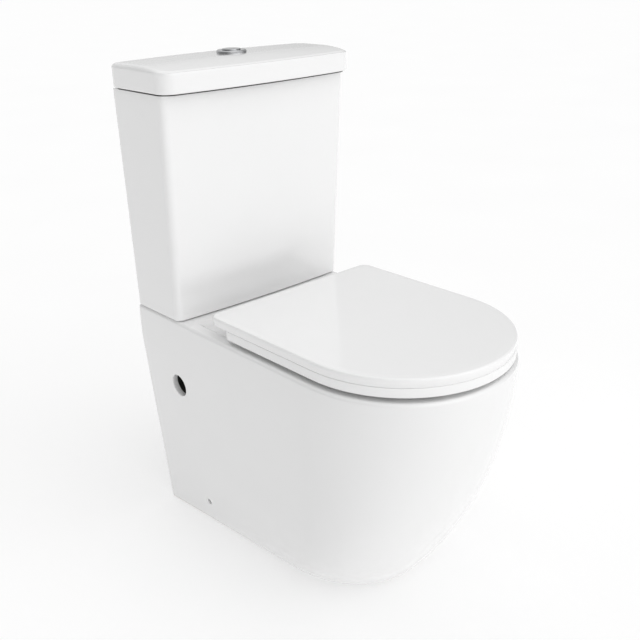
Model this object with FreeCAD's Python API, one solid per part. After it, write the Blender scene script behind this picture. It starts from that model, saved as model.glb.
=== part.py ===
import FreeCAD, Part

import math
import os

from FreeCAD import Vector

# Close coupled toilet, back to wall, in millimetres.
# +Z is up, the floor is z = 0, the wall is at +Y and the front faces -Y.
# The origin is on the floor, in the middle of the pan's width and depth.
# Distances called "from the wall" run forwards from the plane of the wall.

# ---- Pan: one fired casting, in four solids that meet: skirt and deck, bowl, trap, flush duct ----
PAN_DEPTH = 633.5
PAN_HEIGHT = 412.0
PAN_WALL = 11.0
DECK_THICKNESS = 17.0
RIM_EDGE_RADIUS = 6.0
REAR_HALF_WIDTH_TOP = 179.5
REAR_HALF_WIDTH_FOOT = 149.5
REAR_TAPER_TOP = 355.0
FRONT_HALF_WIDTH_TOP = 183.0
FRONT_HALF_WIDTH_FOOT = 109.0
FOOT_DEPTH = 474.0
SIDE_LENGTH_TOP = 440.0
SIDE_LENGTH_FOOT = 311.0
FRONT_RISE_POWERS = (1.67, 1.18)
SIDE_RISE_POWERS = (4.8, 1.3)
PLAN_ROUNDNESS = 2.13
SKIRT_LEVELS = (0.0, 0.03, 0.08, 0.16, 0.27, 0.42, 0.60, 0.80, 1.0)
SIDE_STEPS = 6
NOSE_STEPS = 16

BOWL_WALL = 10.0
BOWL_ROUNDNESS = 2.2
RIM_FLARE = 5.0
OVAL_POINTS = 36
# Inside of the bowl, top to bottom: height, half width, rear and front from the wall
BOWL_LEVELS = (
    (412.0, 132.0, 268.0, 588.0),
    (370.0, 130.0, 272.0, 585.0),
    (318.0, 117.0, 296.0, 570.0),
    (262.0, 93.0, 322.0, 534.0),
    (208.0, 66.0, 346.0, 490.0),
    (162.0, 48.0, 352.0, 452.0),
    (128.0, 34.0, 356.0, 424.0),
)

TRAP_BORE_RADIUS = 38.0
TRAP_WALL = 9.0
# Corners of the trap's centre line (from the wall, height) and the radius at each corner
TRAP_ROUTE = ((415.0, 200.0), (330.0, 114.0), (222.0, 290.0), (160.0, 180.0), (55.0, 180.0))
TRAP_BENDS = (56.0, 54.0, 50.0)
SPIGOT_RADIUS = 51.0
SPIGOT_LENGTH = 55.0

DUCT_HALF_WIDTH = 44.0
DUCT_HEIGHT = 42.0
DUCT_WALL = 8.0
DUCT_REAR = 18.0

TRAY_DEPTH = 7.0
TRAY_HALF_WIDTH = 158.0
TRAY_REAR = 152.0
TRAY_FRONT = 258.0
TRAY_SLOPE = 10.0
TRAY_CORNER = 20.0

ACCESS_HOLE_RADIUS = 20.0
ACCESS_HOLE_FROM_WALL = 101.0
ACCESS_HOLE_HEIGHT = 286.0
FIXING_HOLE_RADIUS = 5.5
FIXING_HOLE_FROM_WALL = 132.0
FIXING_HOLE_HEIGHT = 51.0

# ---- Cistern ----
CISTERN_GAP = 1.5
CISTERN_HEIGHT = 370.5
CISTERN_WALL = 9.0
CISTERN_FLOOR = 11.0
CISTERN_BACK = 2.0
CISTERN_HALF_WIDTH_BASE = 180.5
CISTERN_HALF_WIDTH_TOP = 187.5
CISTERN_DEPTH_BASE = 126.0
CISTERN_DEPTH_TOP = 145.5
CISTERN_BOW = 6.0
CISTERN_FRONT_CORNER = 12.0
CISTERN_REAR_CORNER = 8.0
CISTERN_BASE_EDGE = 2.5

# ---- Cistern lid ----
LID_CLEARANCE = 0.4
LID_THICKNESS = 40.6
LID_HALF_WIDTH = 192.3
LID_DEPTH = 160.0
LID_BOW = 10.4
LID_CORNER = 25.0
LID_TOP_EDGE = 8.0
LID_BASE_EDGE = 2.0
LID_CROWN = 2.4
LID_WALL = 11.0
LID_LUG = (30.0, 8.0, 12.0)
LID_LUG_X = 120.0
LID_LUG_CLEARANCE = 2.5

# ---- Dual flush button, in the middle of the lid ----
BUTTON_FROM_WALL = 75.0
FLANGE_RADIUS = 25.0
FLANGE_HEIGHT = 4.6
FLANGE_BEVEL = 1.84
HOUSING_THREAD_RADIUS = 19.5
HOUSING_DEPTH = 26.0
HOUSING_WEB = 2.5
LID_HOLE_RADIUS = 20.5
BUTTON_RADIUS = 15.5
BUTTON_CLEARANCE = 0.4
BUTTON_SPLIT = 1.0
BUTTON_PROUD = 6.3
BUTTON_SKIRT = 6.0
BUTTON_EDGE = 1.0
BORE_EDGE = 0.8
ROD_OFFSET = 7.5
ROD_RADIUS = 3.0
ROD_CLEARANCE = 0.4
SPRING_COIL_RADIUS = 4.3
SPRING_WIRE_RADIUS = 0.7
SPRING_TURNS = 7
BUTTON_NUT_RADIUS = 27.0
BUTTON_NUT_HEIGHT = 7.0

# ---- Flush valve ----
FLUSH_FROM_WALL = 66.0
VALVE_TAIL_RADIUS = 29.8
VALVE_TAIL_WALL = 4.8
VALVE_TAIL_LENGTH = 40.0
VALVE_HOLE_CLEARANCE = 1.7
VALVE_FLANGE_WIDTH = 14.2
VALVE_FLANGE_HEIGHT = 5.5
GASKET_THICKNESS = 2.0
VALVE_SEAT_LIP = 3.0
VALVE_SEAT_HEIGHT = 2.0
CAGE_CLEARANCE = 3.5
CAGE_WALL = 3.0
CAGE_RIB_WIDTH = 9.0
CAGE_HEIGHT = 68.0
TOWER_HEIGHT = 190.0
TOWER_CAP = 4.0
TOWER_WINDOW = (24.0, 47.5, 133.0)
PLUG_SEAL_LAP = 1.5
PLUG_SEAL_HEIGHT = 3.0
PLUG_GAP = 0.4
PLUG_DISC_HEIGHT = 3.5
OVERFLOW_RADIUS = 16.0
OVERFLOW_WALL = 2.5
OVERFLOW_HEIGHT = 200.0
PLUNGER_RADIUS = 6.0
PLUNGER_PROUD = 10.0
PLUNGER_LENGTH = 24.0
PLUNGER_GAP = 0.4
VALVE_NUT_WALL = 9.7
VALVE_NUT_HEIGHT = 12.0
INLET_RADIUS = 33.0
INLET_RECESS_RADIUS = 48.0
INLET_RECESS_DEPTH = 22.0
DOUGHNUT_CLEARANCE = 1.5
DOUGHNUT_WALL = 6.0

# ---- Coupling bolts between cistern and pan ----
COUPLING_SPACING = 150.0
COUPLING_BOLT_RADIUS = 4.0
COUPLING_HOLE_RADIUS = 6.0
COUPLING_BOLT_BELOW = 40.0
BOLT_HEAD = (7.5, 5.5)
BOLT_SEAL = (14.0, 4.0)
SPACER_RADIUS = 15.0
WASHER = (12.0, 2.0)
WING_NUT = (8.0, 12.0, 17.0, 3.0)

# ---- Fill valve ----
FILL_X = 118.0
FILL_FROM_WALL = 60.0
FILL_TAIL_RADIUS = 10.48
FILL_TAIL_BORE = 6.0
FILL_TAIL_LENGTH = 46.0
FILL_TAIL_GROOVE = (1.5, 0.6)
FILL_HOLE_RADIUS = 11.5
FILL_FLANGE = (18.0, 4.5)
FILL_NUT = (17.0, 10.0)
FILL_DECK_HOLE_RADIUS = 23.0
COLUMN_RADIUS = 9.0
COLUMN_HEIGHT = 210.0
FLOAT_RADIUS = 26.0
FLOAT_HEIGHT = 60.0
FLOAT_CLEARANCE = 0.5
FLOAT_START = 130.0
HEAD_RADIUS = 15.0
HEAD_HEIGHT = 16.0
LEVER_ARM = 26.0
LEVER_WIDTH = 7.0
LEVER_THICKNESS = 4.0
LEVER_PIVOT_HEIGHT = 8.0
LEVER_HUB_RADIUS = 4.5
LEVER_PIN_RADIUS = 2.0
LEVER_LINK_ARM = 22.0
LEVER_LINK_RADIUS = 1.5
LEVER_LINK_GAP = 0.8
EAR_THICKNESS = 3.0
EAR_CLEARANCE = 0.4

# ---- Seat, seat lid and hinges ----
SEAT_HALF_WIDTH = 175.5
SEAT_FRONT = 632.5
SEAT_SIDE_END = 452.0
SEAT_REAR = 241.0
SEAT_THICKNESS = 15.6
SEAT_LIFT = 7.0
SEAT_CORNER = 16.0
SEAT_EDGE = 3.0
SEAT_TOP_EDGE = 1.0
SEAT_MOUTH_EDGE = 4.0
SEAT_ROUNDNESS = 2.02
SEAT_NOSE_STEPS = 32
SEAT_OPENING = (112.0, 290.0, 560.0)
SEAT_LID_GAP = 0.4
SEAT_LID_REAR = 207.0
SEAT_LID_THICKNESS = 13.8
SEAT_LID_CORNER = 17.0
SEAT_LID_EDGE = 3.5
SEAT_LID_RECESS = 6.0
SEAT_LID_RIM = 12.0
BUFFER_GAP = 0.3
BUFFER_RADIUS = 7.0
SEAT_BUFFERS = ((150.0, 330.0), (60.0, 598.0))
LID_BUFFERS = ((146.0, 345.0), (56.0, 594.0))

HINGE_SPACING = 155.0
HINGE_FROM_WALL = 219.0
HINGE_HEIGHT = 21.5
HINGE_PIN_RADIUS = 5.0
HINGE_RUNNING = 0.05
HINGE_EYE_RADIUS = 7.5
HINGE_STEM_WIDTH = 20.0
HINGE_SIDE_GAP = 0.7
HINGE_LUG_WIDTH = 14.0
HINGE_BASE = (22.0, 5.0)
HINGE_HOLE_RADIUS = 7.5
HINGE_BOLT_RADIUS = 3.0
HINGE_BOLT_BELOW = 40.0
HINGE_BOLT_ABOVE = 3.5
HINGE_SLEEVE_CLEARANCE = 0.3
HINGE_SLEEVE_LENGTH = 22.0
HINGE_NUT = (11.0, 8.0)

# ---- Floor brackets inside the skirt ----
BRACKET_WIDTH = 32.0
BRACKET_FOOT = (46.0, 5.0)
BRACKET_UPRIGHT = (8.0, 72.0)
BRACKET_PILOT_RADIUS = 2.5
BRACKET_SCREW_RADIUS = 3.5
BRACKET_SCREW_INSET = 30.0
BRACKET_CLEARANCE = 1.0

# ---- Radii of the flush valve that follow from its tail ----
VALVE_FLANGE_RADIUS = VALVE_TAIL_RADIUS + VALVE_FLANGE_WIDTH
VALVE_NUT_RADIUS = VALVE_TAIL_RADIUS + VALVE_NUT_WALL
VALVE_BORE = VALVE_TAIL_RADIUS - VALVE_TAIL_WALL
VALVE_SEAT_RADIUS = VALVE_BORE + VALVE_SEAT_LIP
PLUG_SEAL_RADIUS = VALVE_SEAT_RADIUS + PLUG_SEAL_LAP
CAGE_RADIUS = PLUG_SEAL_RADIUS + CAGE_CLEARANCE + CAGE_WALL

# ---- Heights that follow from the sizes above ----
DECK_UNDER = PAN_HEIGHT - DECK_THICKNESS
TRAY_TOP = PAN_HEIGHT - TRAY_DEPTH
RECESS_FLOOR = PAN_HEIGHT - INLET_RECESS_DEPTH
DUCT_TOP = RECESS_FLOOR - DUCT_WALL
CISTERN_BASE = PAN_HEIGHT + CISTERN_GAP
CISTERN_FLOOR_TOP = CISTERN_BASE + CISTERN_FLOOR
CISTERN_TOP = CISTERN_BASE + CISTERN_HEIGHT
LID_BASE = CISTERN_TOP + LID_CLEARANCE
LID_EDGE_TOP = LID_BASE + LID_THICKNESS
LID_TOP = LID_EDGE_TOP + LID_CROWN
LID_CEILING = LID_EDGE_TOP - LID_WALL
VALVE_FLANGE_TOP = CISTERN_FLOOR_TOP + GASKET_THICKNESS + VALVE_FLANGE_HEIGHT
VALVE_SEAT_TOP = VALVE_FLANGE_TOP + VALVE_SEAT_HEIGHT
TOWER_BASE = VALVE_FLANGE_TOP + CAGE_HEIGHT
TOWER_TOP = TOWER_BASE + TOWER_HEIGHT
PLUNGER_TOP = TOWER_TOP + PLUNGER_PROUD
FILL_BASE = CISTERN_FLOOR_TOP + GASKET_THICKNESS
COLUMN_TOP = FILL_BASE + COLUMN_HEIGHT
HEAD_TOP = COLUMN_TOP + HEAD_HEIGHT
LEVER_PIVOT = HEAD_TOP + LEVER_PIVOT_HEIGHT
SEAT_BASE = PAN_HEIGHT + SEAT_LIFT
SEAT_TOP = SEAT_BASE + SEAT_THICKNESS
SEAT_LID_BASE = SEAT_TOP + SEAT_LID_GAP
SEAT_LID_TOP = SEAT_LID_BASE + SEAT_LID_THICKNESS
HINGE_AXIS = TRAY_TOP + HINGE_HEIGHT

X_AXIS = Vector(1, 0, 0)
Y_AXIS = Vector(0, 1, 0)
Z_AXIS = Vector(0, 0, 1)
OVERRUN = 5.0


# ---- Small shapes ----
def from_wall(distance):
    """Y of a point at a distance in front of the wall."""
    return PAN_DEPTH / 2 - distance


def box(x_range, wall_range, z_range):
    """Box between two values of x, two distances from the wall and two heights."""
    size = [x_range[1] - x_range[0], wall_range[1] - wall_range[0], z_range[1] - z_range[0]]
    return Part.makeBox(*size, Vector(x_range[0], from_wall(wall_range[1]), z_range[0]))


def post(radius, z_range, x=0.0, wall=0.0):
    """Upright cylinder."""
    return Part.makeCylinder(radius, z_range[1] - z_range[0], Vector(x, from_wall(wall), z_range[0]))


def ring(radius, bore, z_range, x=0.0, wall=0.0):
    """Upright tube."""
    bore_range = (z_range[0] - OVERRUN, z_range[1] + OVERRUN)
    return post(radius, z_range, x, wall).cut(post(bore, bore_range, x, wall))


def cross_bar(radius, x_range, wall, height):
    """Cylinder along X."""
    start = Vector(x_range[0], from_wall(wall), height)
    return Part.makeCylinder(radius, x_range[1] - x_range[0], start, X_AXIS)


def prism(radius, sides, z_range, x=0.0, wall=0.0):
    """Upright prism on a regular polygon whose corners lie on a circle."""
    centre = Vector(x, from_wall(wall), z_range[0])
    turns = [2 * math.pi * i / sides for i in range(sides + 1)]
    corners = [centre + Vector(radius * math.cos(a), radius * math.sin(a), 0) for a in turns]
    return Part.Face(Part.makePolygon(corners)).extrude(Z_AXIS * (z_range[1] - z_range[0]))


def turned(profile, x, wall, height):
    """Solid turned from a closed profile of (radius, height) points about an upright axis."""
    points = [Vector(radius, 0, z) for radius, z in profile]
    face = Part.Face(Part.makePolygon(points + points[:1]))
    solid = face.revolve(Vector(0, 0, 0), Z_AXIS, 360)
    solid.translate(Vector(x, from_wall(wall), height))
    return solid


def mirrored(shape):
    """The same shape on the other side of the middle plane."""
    return shape.mirror(Vector(0, 0, 0), X_AXIS)


def pair(shape):
    """A shape and its mirror image, as two separate solids."""
    return Part.makeCompound([shape, mirrored(shape)])


def upright_edges(shape):
    """Straight edges that climb, such as the corners of a tank."""
    found = []
    for edge in shape.Edges:
        rise = edge.lastVertex().Point - edge.firstVertex().Point
        if rise.Length > 0 and abs(rise.z) / rise.Length > 0.9:
            found.append(edge)
    return found


def edges_at(shape, height, tolerance=0.01):
    """Edges that lie flat at one height."""
    found = []
    for edge in shape.Edges:
        low, high = edge.BoundBox.ZMin, edge.BoundBox.ZMax
        if abs(low - height) < tolerance and abs(high - height) < tolerance:
            found.append(edge)
    return found


def rounded_path(corners, bends):
    """Edges of a path through (from wall, height) corners, with an arc at each inner corner."""
    points = [Vector(0, from_wall(wall), height) for wall, height in corners]
    edges = []
    start = points[0]
    for before, corner, after, radius in zip(points, points[1:], points[2:], bends):
        inward = (before - corner).normalize()
        outward = (after - corner).normalize()
        half_turn = (math.pi - inward.getAngle(outward)) / 2
        reach = radius * math.tan(half_turn)
        bisector = (inward + outward).normalize()
        centre = corner + bisector * (radius / math.cos(half_turn))
        first = corner + inward * reach
        last = corner + outward * reach
        edges.append(Part.LineSegment(start, first).toShape())
        edges.append(Part.Arc(first, centre - bisector * radius, last).toShape())
        start = last
    edges.append(Part.LineSegment(start, points[-1]).toShape())
    return edges


def pipe(edges, radius):
    """Solid round bar along edges that follow on from each other."""
    start = edges[0].valueAt(edges[0].FirstParameter)
    heading = edges[0].tangentAt(edges[0].FirstParameter)
    disc = Part.Wire(Part.makeCircle(radius, start, heading))
    return Part.Wire(edges).makePipeShell([disc], True, True)


def oval_wire(height, half_width, rear, front, roundness):
    """Closed oval, as one smooth curve."""
    middle = (rear + front) / 2
    half_length = (front - rear) / 2
    points = []
    for i in range(OVAL_POINTS):
        angle = 2 * math.pi * i / OVAL_POINTS
        c, s = math.cos(angle), math.sin(angle)
        x = half_width * math.copysign(abs(c) ** (2 / roundness), c)
        wall = middle + half_length * math.copysign(abs(s) ** (2 / roundness), s)
        points.append(Vector(x, from_wall(wall), height))
    curve = Part.BSplineCurve()
    curve.interpolate(Points=points, PeriodicFlag=True)
    return Part.Wire(curve.toShape())


def rounded_rectangle(level, half_width, rear, front, radius):
    """Rectangle with round corners, between two values of y."""
    x, r = half_width - radius, radius
    middles = [(x, rear - r, 1, 1), (-x, rear - r, -1, 1), (-x, front + r, -1, -1), (x, front + r, 1, -1)]
    edges = []
    last = Vector(half_width, front + r, level)
    for index, (cx, cy, sx, sy) in enumerate(middles):
        ends = [Vector(cx + sx * r, cy, level), Vector(cx, cy + sy * r, level)]
        if index % 2:
            ends.reverse()
        bulge = Vector(cx + sx * r * math.sqrt(0.5), cy + sy * r * math.sqrt(0.5), level)
        edges.append(Part.LineSegment(last, ends[0]).toShape())
        edges.append(Part.Arc(ends[0], bulge, ends[1]).toShape())
        last = ends[1]
    return Part.Wire(edges)


def quarter_round(radius):
    """Steps of a quarter round: rise above its start and distance inwards."""
    turns = [math.radians(degrees) for degrees in (0, 22.5, 45, 67.5, 90)]
    return [(radius * math.sin(turn), radius * (1 - math.cos(turn))) for turn in turns]


def rounded_layer(wire_at, base, radius, upwards=True):
    """Layer whose outer edge is a quarter round; wire_at(level, inset) gives its plan."""
    sign = 1 if upwards else -1
    wires = [wire_at(base + sign * rise, inset) for rise, inset in quarter_round(radius)]
    return Part.makeLoft(wires[::sign], True, False)


def mouth_flare(plan, top, radius):
    """Cutter that rounds over the edge of an oval mouth."""
    half_width, rear, front = plan
    wires = []
    for rise, growth in quarter_round(radius):
        level = top - radius + rise
        wires.append(oval_wire(level, half_width + growth, rear - growth, front + growth, BOWL_ROUNDNESS))
    return Part.makeLoft(wires, True, False)


# ---- Pan ----
def eased(share, powers):
    """Rise from 0 to 1 that is quick at first and levels out at the top."""
    return (1 - (1 - share) ** powers[0]) ** (1 / powers[1])


def skirt_sizes(height):
    """Plan of the skirt at a height: rear and front half widths, side length and depth."""
    share = min(max(height / PAN_HEIGHT, 0.0), 1.0)
    side = eased(share, SIDE_RISE_POWERS)
    front = eased(share, FRONT_RISE_POWERS)
    taper = min(max(height / REAR_TAPER_TOP, 0.0), 1.0)
    rear_width = REAR_HALF_WIDTH_FOOT + (REAR_HALF_WIDTH_TOP - REAR_HALF_WIDTH_FOOT) * taper
    front_width = FRONT_HALF_WIDTH_FOOT + (FRONT_HALF_WIDTH_TOP - FRONT_HALF_WIDTH_FOOT) * side
    side_length = SIDE_LENGTH_FOOT + (SIDE_LENGTH_TOP - SIDE_LENGTH_FOOT) * side
    depth = FOOT_DEPTH + (PAN_DEPTH - FOOT_DEPTH) * front
    return rear_width, front_width, side_length, depth


def skirt_half_width(height, wall):
    """Half width of the skirt's outside, at a height and a distance from the wall."""
    rear_width, front_width, side_length, depth = skirt_sizes(height)
    width = rear_width + (front_width - rear_width) * wall / depth
    if wall <= side_length:
        return width
    share = min((wall - side_length) / (depth - side_length), 1.0)
    return width * (1 - share ** PLAN_ROUNDNESS) ** (1 / PLAN_ROUNDNESS)


def skirt_wire(height, level, inset=0.0, rear=0.0):
    """Closed plan of the skirt, drawn inwards by an inset and begun at a distance from the wall."""
    rear_width, front_width, side_length, depth = skirt_sizes(height)
    plan = []
    reach = depth - inset - side_length
    power = 2 / PLAN_ROUNDNESS
    for i in range(SIDE_STEPS):
        plan.append((rear + (side_length - rear) * i / SIDE_STEPS, 1.0))
    for i in range(NOSE_STEPS + 1):
        angle = math.pi / 2 * i / NOSE_STEPS
        plan.append((side_length + reach * math.sin(angle) ** power, abs(math.cos(angle)) ** power))
    left = []
    for wall, narrowing in plan:
        width = rear_width + (front_width - rear_width) * wall / depth - inset
        left.append(Vector(-width * narrowing, from_wall(wall), level))
    left[-1].x = 0.0
    right = [Vector(-p.x, p.y, p.z) for p in reversed(left[:-1])]
    curve = Part.BSplineCurve()
    curve.interpolate(Points=left + right, Parameters=[float(i) for i in range(2 * len(left) - 1)])
    back = Part.LineSegment(right[-1], left[0]).toShape()
    return Part.Wire([curve.toShape(), back])


def skirt_solid(top, inset=0.0, rear=0.0, base=0.0):
    """Solid inside the skirt's plan, from the foot to a height."""
    levels = [top * share for share in SKIRT_LEVELS]
    wires = [skirt_wire(level, level if level else base, inset, rear) for level in levels]
    return Part.makeLoft(wires, True, False)


def bowl_solid(growth=0.0, mouth=None):
    """Inside of the bowl, grown outwards by a wall; mouth is the height at which it ends."""
    wires = []
    for height, half_width, rear, front in BOWL_LEVELS:
        level = height + PAN_HEIGHT - BOWL_LEVELS[0][0]
        if level == PAN_HEIGHT and mouth is not None:
            level = mouth
        if height == BOWL_LEVELS[-1][0]:
            level -= growth
        wires.append(oval_wire(level, half_width + growth, rear - growth, front + growth, BOWL_ROUNDNESS))
    return Part.makeLoft(wires, True, False)


def tray_cut():
    """Shallow tray behind the bowl, with sloping sides, that the hinges stand in."""
    wires = []
    for level, growth in ((TRAY_TOP, 0.0), (PAN_HEIGHT + 0.1, TRAY_SLOPE)):
        x = TRAY_HALF_WIDTH - TRAY_SLOPE + growth
        rear = from_wall(TRAY_REAR + TRAY_SLOPE - growth)
        front = from_wall(TRAY_FRONT - TRAY_SLOPE + growth)
        wires.append(rounded_rectangle(level, x, rear, front, TRAY_CORNER))
    return Part.makeLoft(wires, True, True)


def bowl_outside():
    """Bowl with its wall, up to the underside of the deck."""
    return bowl_solid(BOWL_WALL, DECK_UNDER)


def make_pan():
    """Skirt and deck, with the tray, the mouth of the bowl and every hole."""
    edge_base = PAN_HEIGHT - RIM_EDGE_RADIUS

    def rim_plan(level, inset):
        """Plan of the rim, drawn inwards by an inset and begun behind the wall."""
        return skirt_wire(level, level, inset, -OVERRUN)

    rim = rounded_layer(rim_plan, edge_base, RIM_EDGE_RADIUS)
    outside = skirt_solid(edge_base, 0.0, -OVERRUN).fuse(rim)
    hollow = skirt_solid(DECK_UNDER, PAN_WALL, -OVERRUN, -OVERRUN)

    above = PAN_HEIGHT + OVERRUN
    below = DECK_UNDER - OVERRUN
    mouth = mouth_flare(BOWL_LEVELS[0][1:], PAN_HEIGHT, RIM_FLARE)
    behind_wall = box((-PAN_DEPTH, PAN_DEPTH), (-2 * OVERRUN, 0), (-OVERRUN, above))
    cuts = [behind_wall, hollow, bowl_solid(0.0, PAN_HEIGHT), mouth, tray_cut()]
    cuts.append(post(INLET_RECESS_RADIUS, (RECESS_FLOOR, above), 0, FLUSH_FROM_WALL))
    cuts.append(post(INLET_RADIUS, (below, above), 0, FLUSH_FROM_WALL))
    cuts.append(post(FILL_DECK_HOLE_RADIUS, (below, above), FILL_X, FILL_FROM_WALL))
    reach = FRONT_HALF_WIDTH_TOP
    for side in (-1, 1):
        bolt_x = side * COUPLING_SPACING / 2
        hinge_x = side * HINGE_SPACING / 2
        cuts.append(post(COUPLING_HOLE_RADIUS, (below, above), bolt_x, FLUSH_FROM_WALL))
        cuts.append(post(HINGE_HOLE_RADIUS, (below, above), hinge_x, HINGE_FROM_WALL))
        spans = sorted((side * reach / 2, side * (reach + OVERRUN)))
        cuts.append(cross_bar(ACCESS_HOLE_RADIUS, spans, ACCESS_HOLE_FROM_WALL, ACCESS_HOLE_HEIGHT))
        cuts.append(cross_bar(FIXING_HOLE_RADIUS, spans, FIXING_HOLE_FROM_WALL, FIXING_HOLE_HEIGHT))
    pan = outside
    for cut in cuts:
        pan = pan.cut(cut)
    return pan


def trap_pipe(radius):
    """Round bar along the trap's centre line."""
    return pipe(rounded_path(TRAP_ROUTE, TRAP_BENDS), radius)


def duct_box(wall):
    """Block of the flush duct, grown by a wall on every side but the deck's."""
    x, floor = DUCT_HALF_WIDTH + wall, DUCT_TOP - DUCT_HEIGHT - wall
    top = DECK_UNDER if wall else DUCT_TOP
    return box((-x, x), (DUCT_REAR - wall, BOWL_LEVELS[0][2] + 2 * BOWL_WALL), (floor, top))


def make_pan_bowl():
    """The bowl under the deck, open to the trap and to the flush duct."""
    bowl = bowl_outside().cut(bowl_solid(0.0, PAN_HEIGHT))
    return bowl.cut(trap_pipe(TRAP_BORE_RADIUS)).cut(duct_box(0.0))


def make_pan_trap():
    """The trap's pipe, from the bowl to the end of the outlet spigot."""
    wall, height = TRAP_ROUTE[-1]
    spigot_start = Vector(0, from_wall(wall + SPIGOT_LENGTH), height)
    spigot = Part.makeCylinder(SPIGOT_RADIUS, SPIGOT_LENGTH, spigot_start, Y_AXIS)
    outside = trap_pipe(TRAP_BORE_RADIUS + TRAP_WALL).fuse(spigot)
    return outside.cut(bowl_outside()).cut(trap_pipe(TRAP_BORE_RADIUS))


def make_pan_duct():
    """The flush duct under the deck, from the inlet to the back of the bowl."""
    inlet = post(INLET_RADIUS, (DUCT_TOP - 1, PAN_HEIGHT), 0, FLUSH_FROM_WALL)
    recess = post(INLET_RECESS_RADIUS, (RECESS_FLOOR, PAN_HEIGHT), 0, FLUSH_FROM_WALL)
    return duct_box(DUCT_WALL).cut(bowl_outside()).cut(duct_box(0.0)).cut(inlet).cut(recess)


# ---- Cistern and its lid ----
def bowed_wire(level, half_width, rear, front, bow):
    """Rectangle whose front edge swells forwards by a bow."""
    corners = [Vector(-half_width, from_wall(front), level), Vector(-half_width, from_wall(rear), level)]
    corners += [Vector(half_width, from_wall(rear), level), Vector(half_width, from_wall(front), level)]
    edges = [Part.LineSegment(a, b).toShape() for a, b in zip(corners, corners[1:])]
    swell = Vector(0, from_wall(front + bow), level)
    edges.append(Part.Arc(corners[3], swell, corners[0]).toShape())
    return Part.Wire(edges)


def tank_wire(level, inset=0.0):
    """Plan of the cistern at a height."""
    share = (level - CISTERN_BASE) / CISTERN_HEIGHT
    half_width = CISTERN_HALF_WIDTH_BASE + (CISTERN_HALF_WIDTH_TOP - CISTERN_HALF_WIDTH_BASE) * share
    depth = CISTERN_DEPTH_BASE + (CISTERN_DEPTH_TOP - CISTERN_DEPTH_BASE) * share
    return bowed_wire(level, half_width - inset, CISTERN_BACK + inset, depth - inset, CISTERN_BOW)


def corner_rounded(shape, front_radius, rear_radius, split):
    """Upright corners rounded, in front of and then behind a distance from the wall."""
    front = [edge for edge in upright_edges(shape) if edge.CenterOfMass.y < from_wall(split)]
    shape = shape.makeFillet(front_radius, front)
    rear = [edge for edge in upright_edges(shape) if edge.CenterOfMass.y > from_wall(split)]
    return shape.makeFillet(rear_radius, rear)


def make_cistern():
    """The cistern casting, open at the top."""
    middle = (CISTERN_BACK + CISTERN_DEPTH_BASE) / 2
    outside = Part.makeLoft([tank_wire(CISTERN_BASE), tank_wire(CISTERN_TOP)], True, True)
    outside = corner_rounded(outside, CISTERN_FRONT_CORNER, CISTERN_REAR_CORNER, middle)
    outside = outside.makeFillet(CISTERN_BASE_EDGE, edges_at(outside, CISTERN_BASE))
    levels = (CISTERN_FLOOR_TOP, CISTERN_TOP + OVERRUN)
    inside = Part.makeLoft([tank_wire(level, CISTERN_WALL) for level in levels], True, True)
    front_inner = max(CISTERN_FRONT_CORNER - CISTERN_WALL, CISTERN_FRONT_CORNER / 2)
    rear_inner = max(CISTERN_REAR_CORNER - CISTERN_WALL, CISTERN_REAR_CORNER / 2)
    inside = corner_rounded(inside, front_inner, rear_inner, middle)
    tank = outside.cut(inside)
    floor = (CISTERN_BASE - OVERRUN, CISTERN_FLOOR_TOP + OVERRUN)
    tank = tank.cut(post(VALVE_TAIL_RADIUS + VALVE_HOLE_CLEARANCE, floor, 0, FLUSH_FROM_WALL))
    tank = tank.cut(post(FILL_HOLE_RADIUS, floor, FILL_X, FILL_FROM_WALL))
    for side in (-1, 1):
        tank = tank.cut(post(COUPLING_HOLE_RADIUS, floor, side * COUPLING_SPACING / 2, FLUSH_FROM_WALL))
    return tank


def lid_block(inset, z_range, corner):
    """Block with the cistern lid's plan, drawn inwards by an inset."""
    wire = bowed_wire(z_range[0], LID_HALF_WIDTH - inset, inset, LID_DEPTH - inset, LID_BOW)
    block = Part.Face(wire).extrude(Z_AXIS * (z_range[1] - z_range[0]))
    return block.makeFillet(corner, upright_edges(block))


def make_cistern_lid():
    """The cistern's lid: a shallow shell with a crowned top and locating lugs."""
    block = lid_block(0.0, (LID_BASE, LID_TOP + OVERRUN), LID_CORNER)
    reach = math.hypot(LID_HALF_WIDTH, LID_DEPTH / 2)
    crown_radius = (reach ** 2 + LID_CROWN ** 2) / (2 * LID_CROWN)
    centre = Vector(0, from_wall(LID_DEPTH / 2), LID_TOP - crown_radius)
    block = block.common(Part.makeSphere(crown_radius, centre))
    top_face = max(block.Faces, key=lambda face: face.CenterOfMass.z)
    block = block.makeFillet(LID_TOP_EDGE, top_face.Edges)
    block = block.makeFillet(LID_BASE_EDGE, edges_at(block, LID_BASE))
    lid = block.cut(lid_block(LID_WALL, (LID_BASE - OVERRUN, LID_CEILING), LID_CORNER - LID_WALL))
    width, thickness, drop = LID_LUG
    rear = CISTERN_BACK + CISTERN_WALL + LID_LUG_CLEARANCE
    front = CISTERN_DEPTH_TOP - CISTERN_WALL - LID_LUG_CLEARANCE
    for side in (-1, 1):
        x = side * LID_LUG_X
        for wall in (rear, front - thickness):
            walls = (wall, wall + thickness)
            lid = lid.fuse(box((x - width / 2, x + width / 2), walls, (LID_BASE - drop, LID_CEILING + 1)))
    return lid.cut(post(LID_HOLE_RADIUS, (LID_BASE - OVERRUN, LID_TOP + OVERRUN), 0, BUTTON_FROM_WALL))


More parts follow.
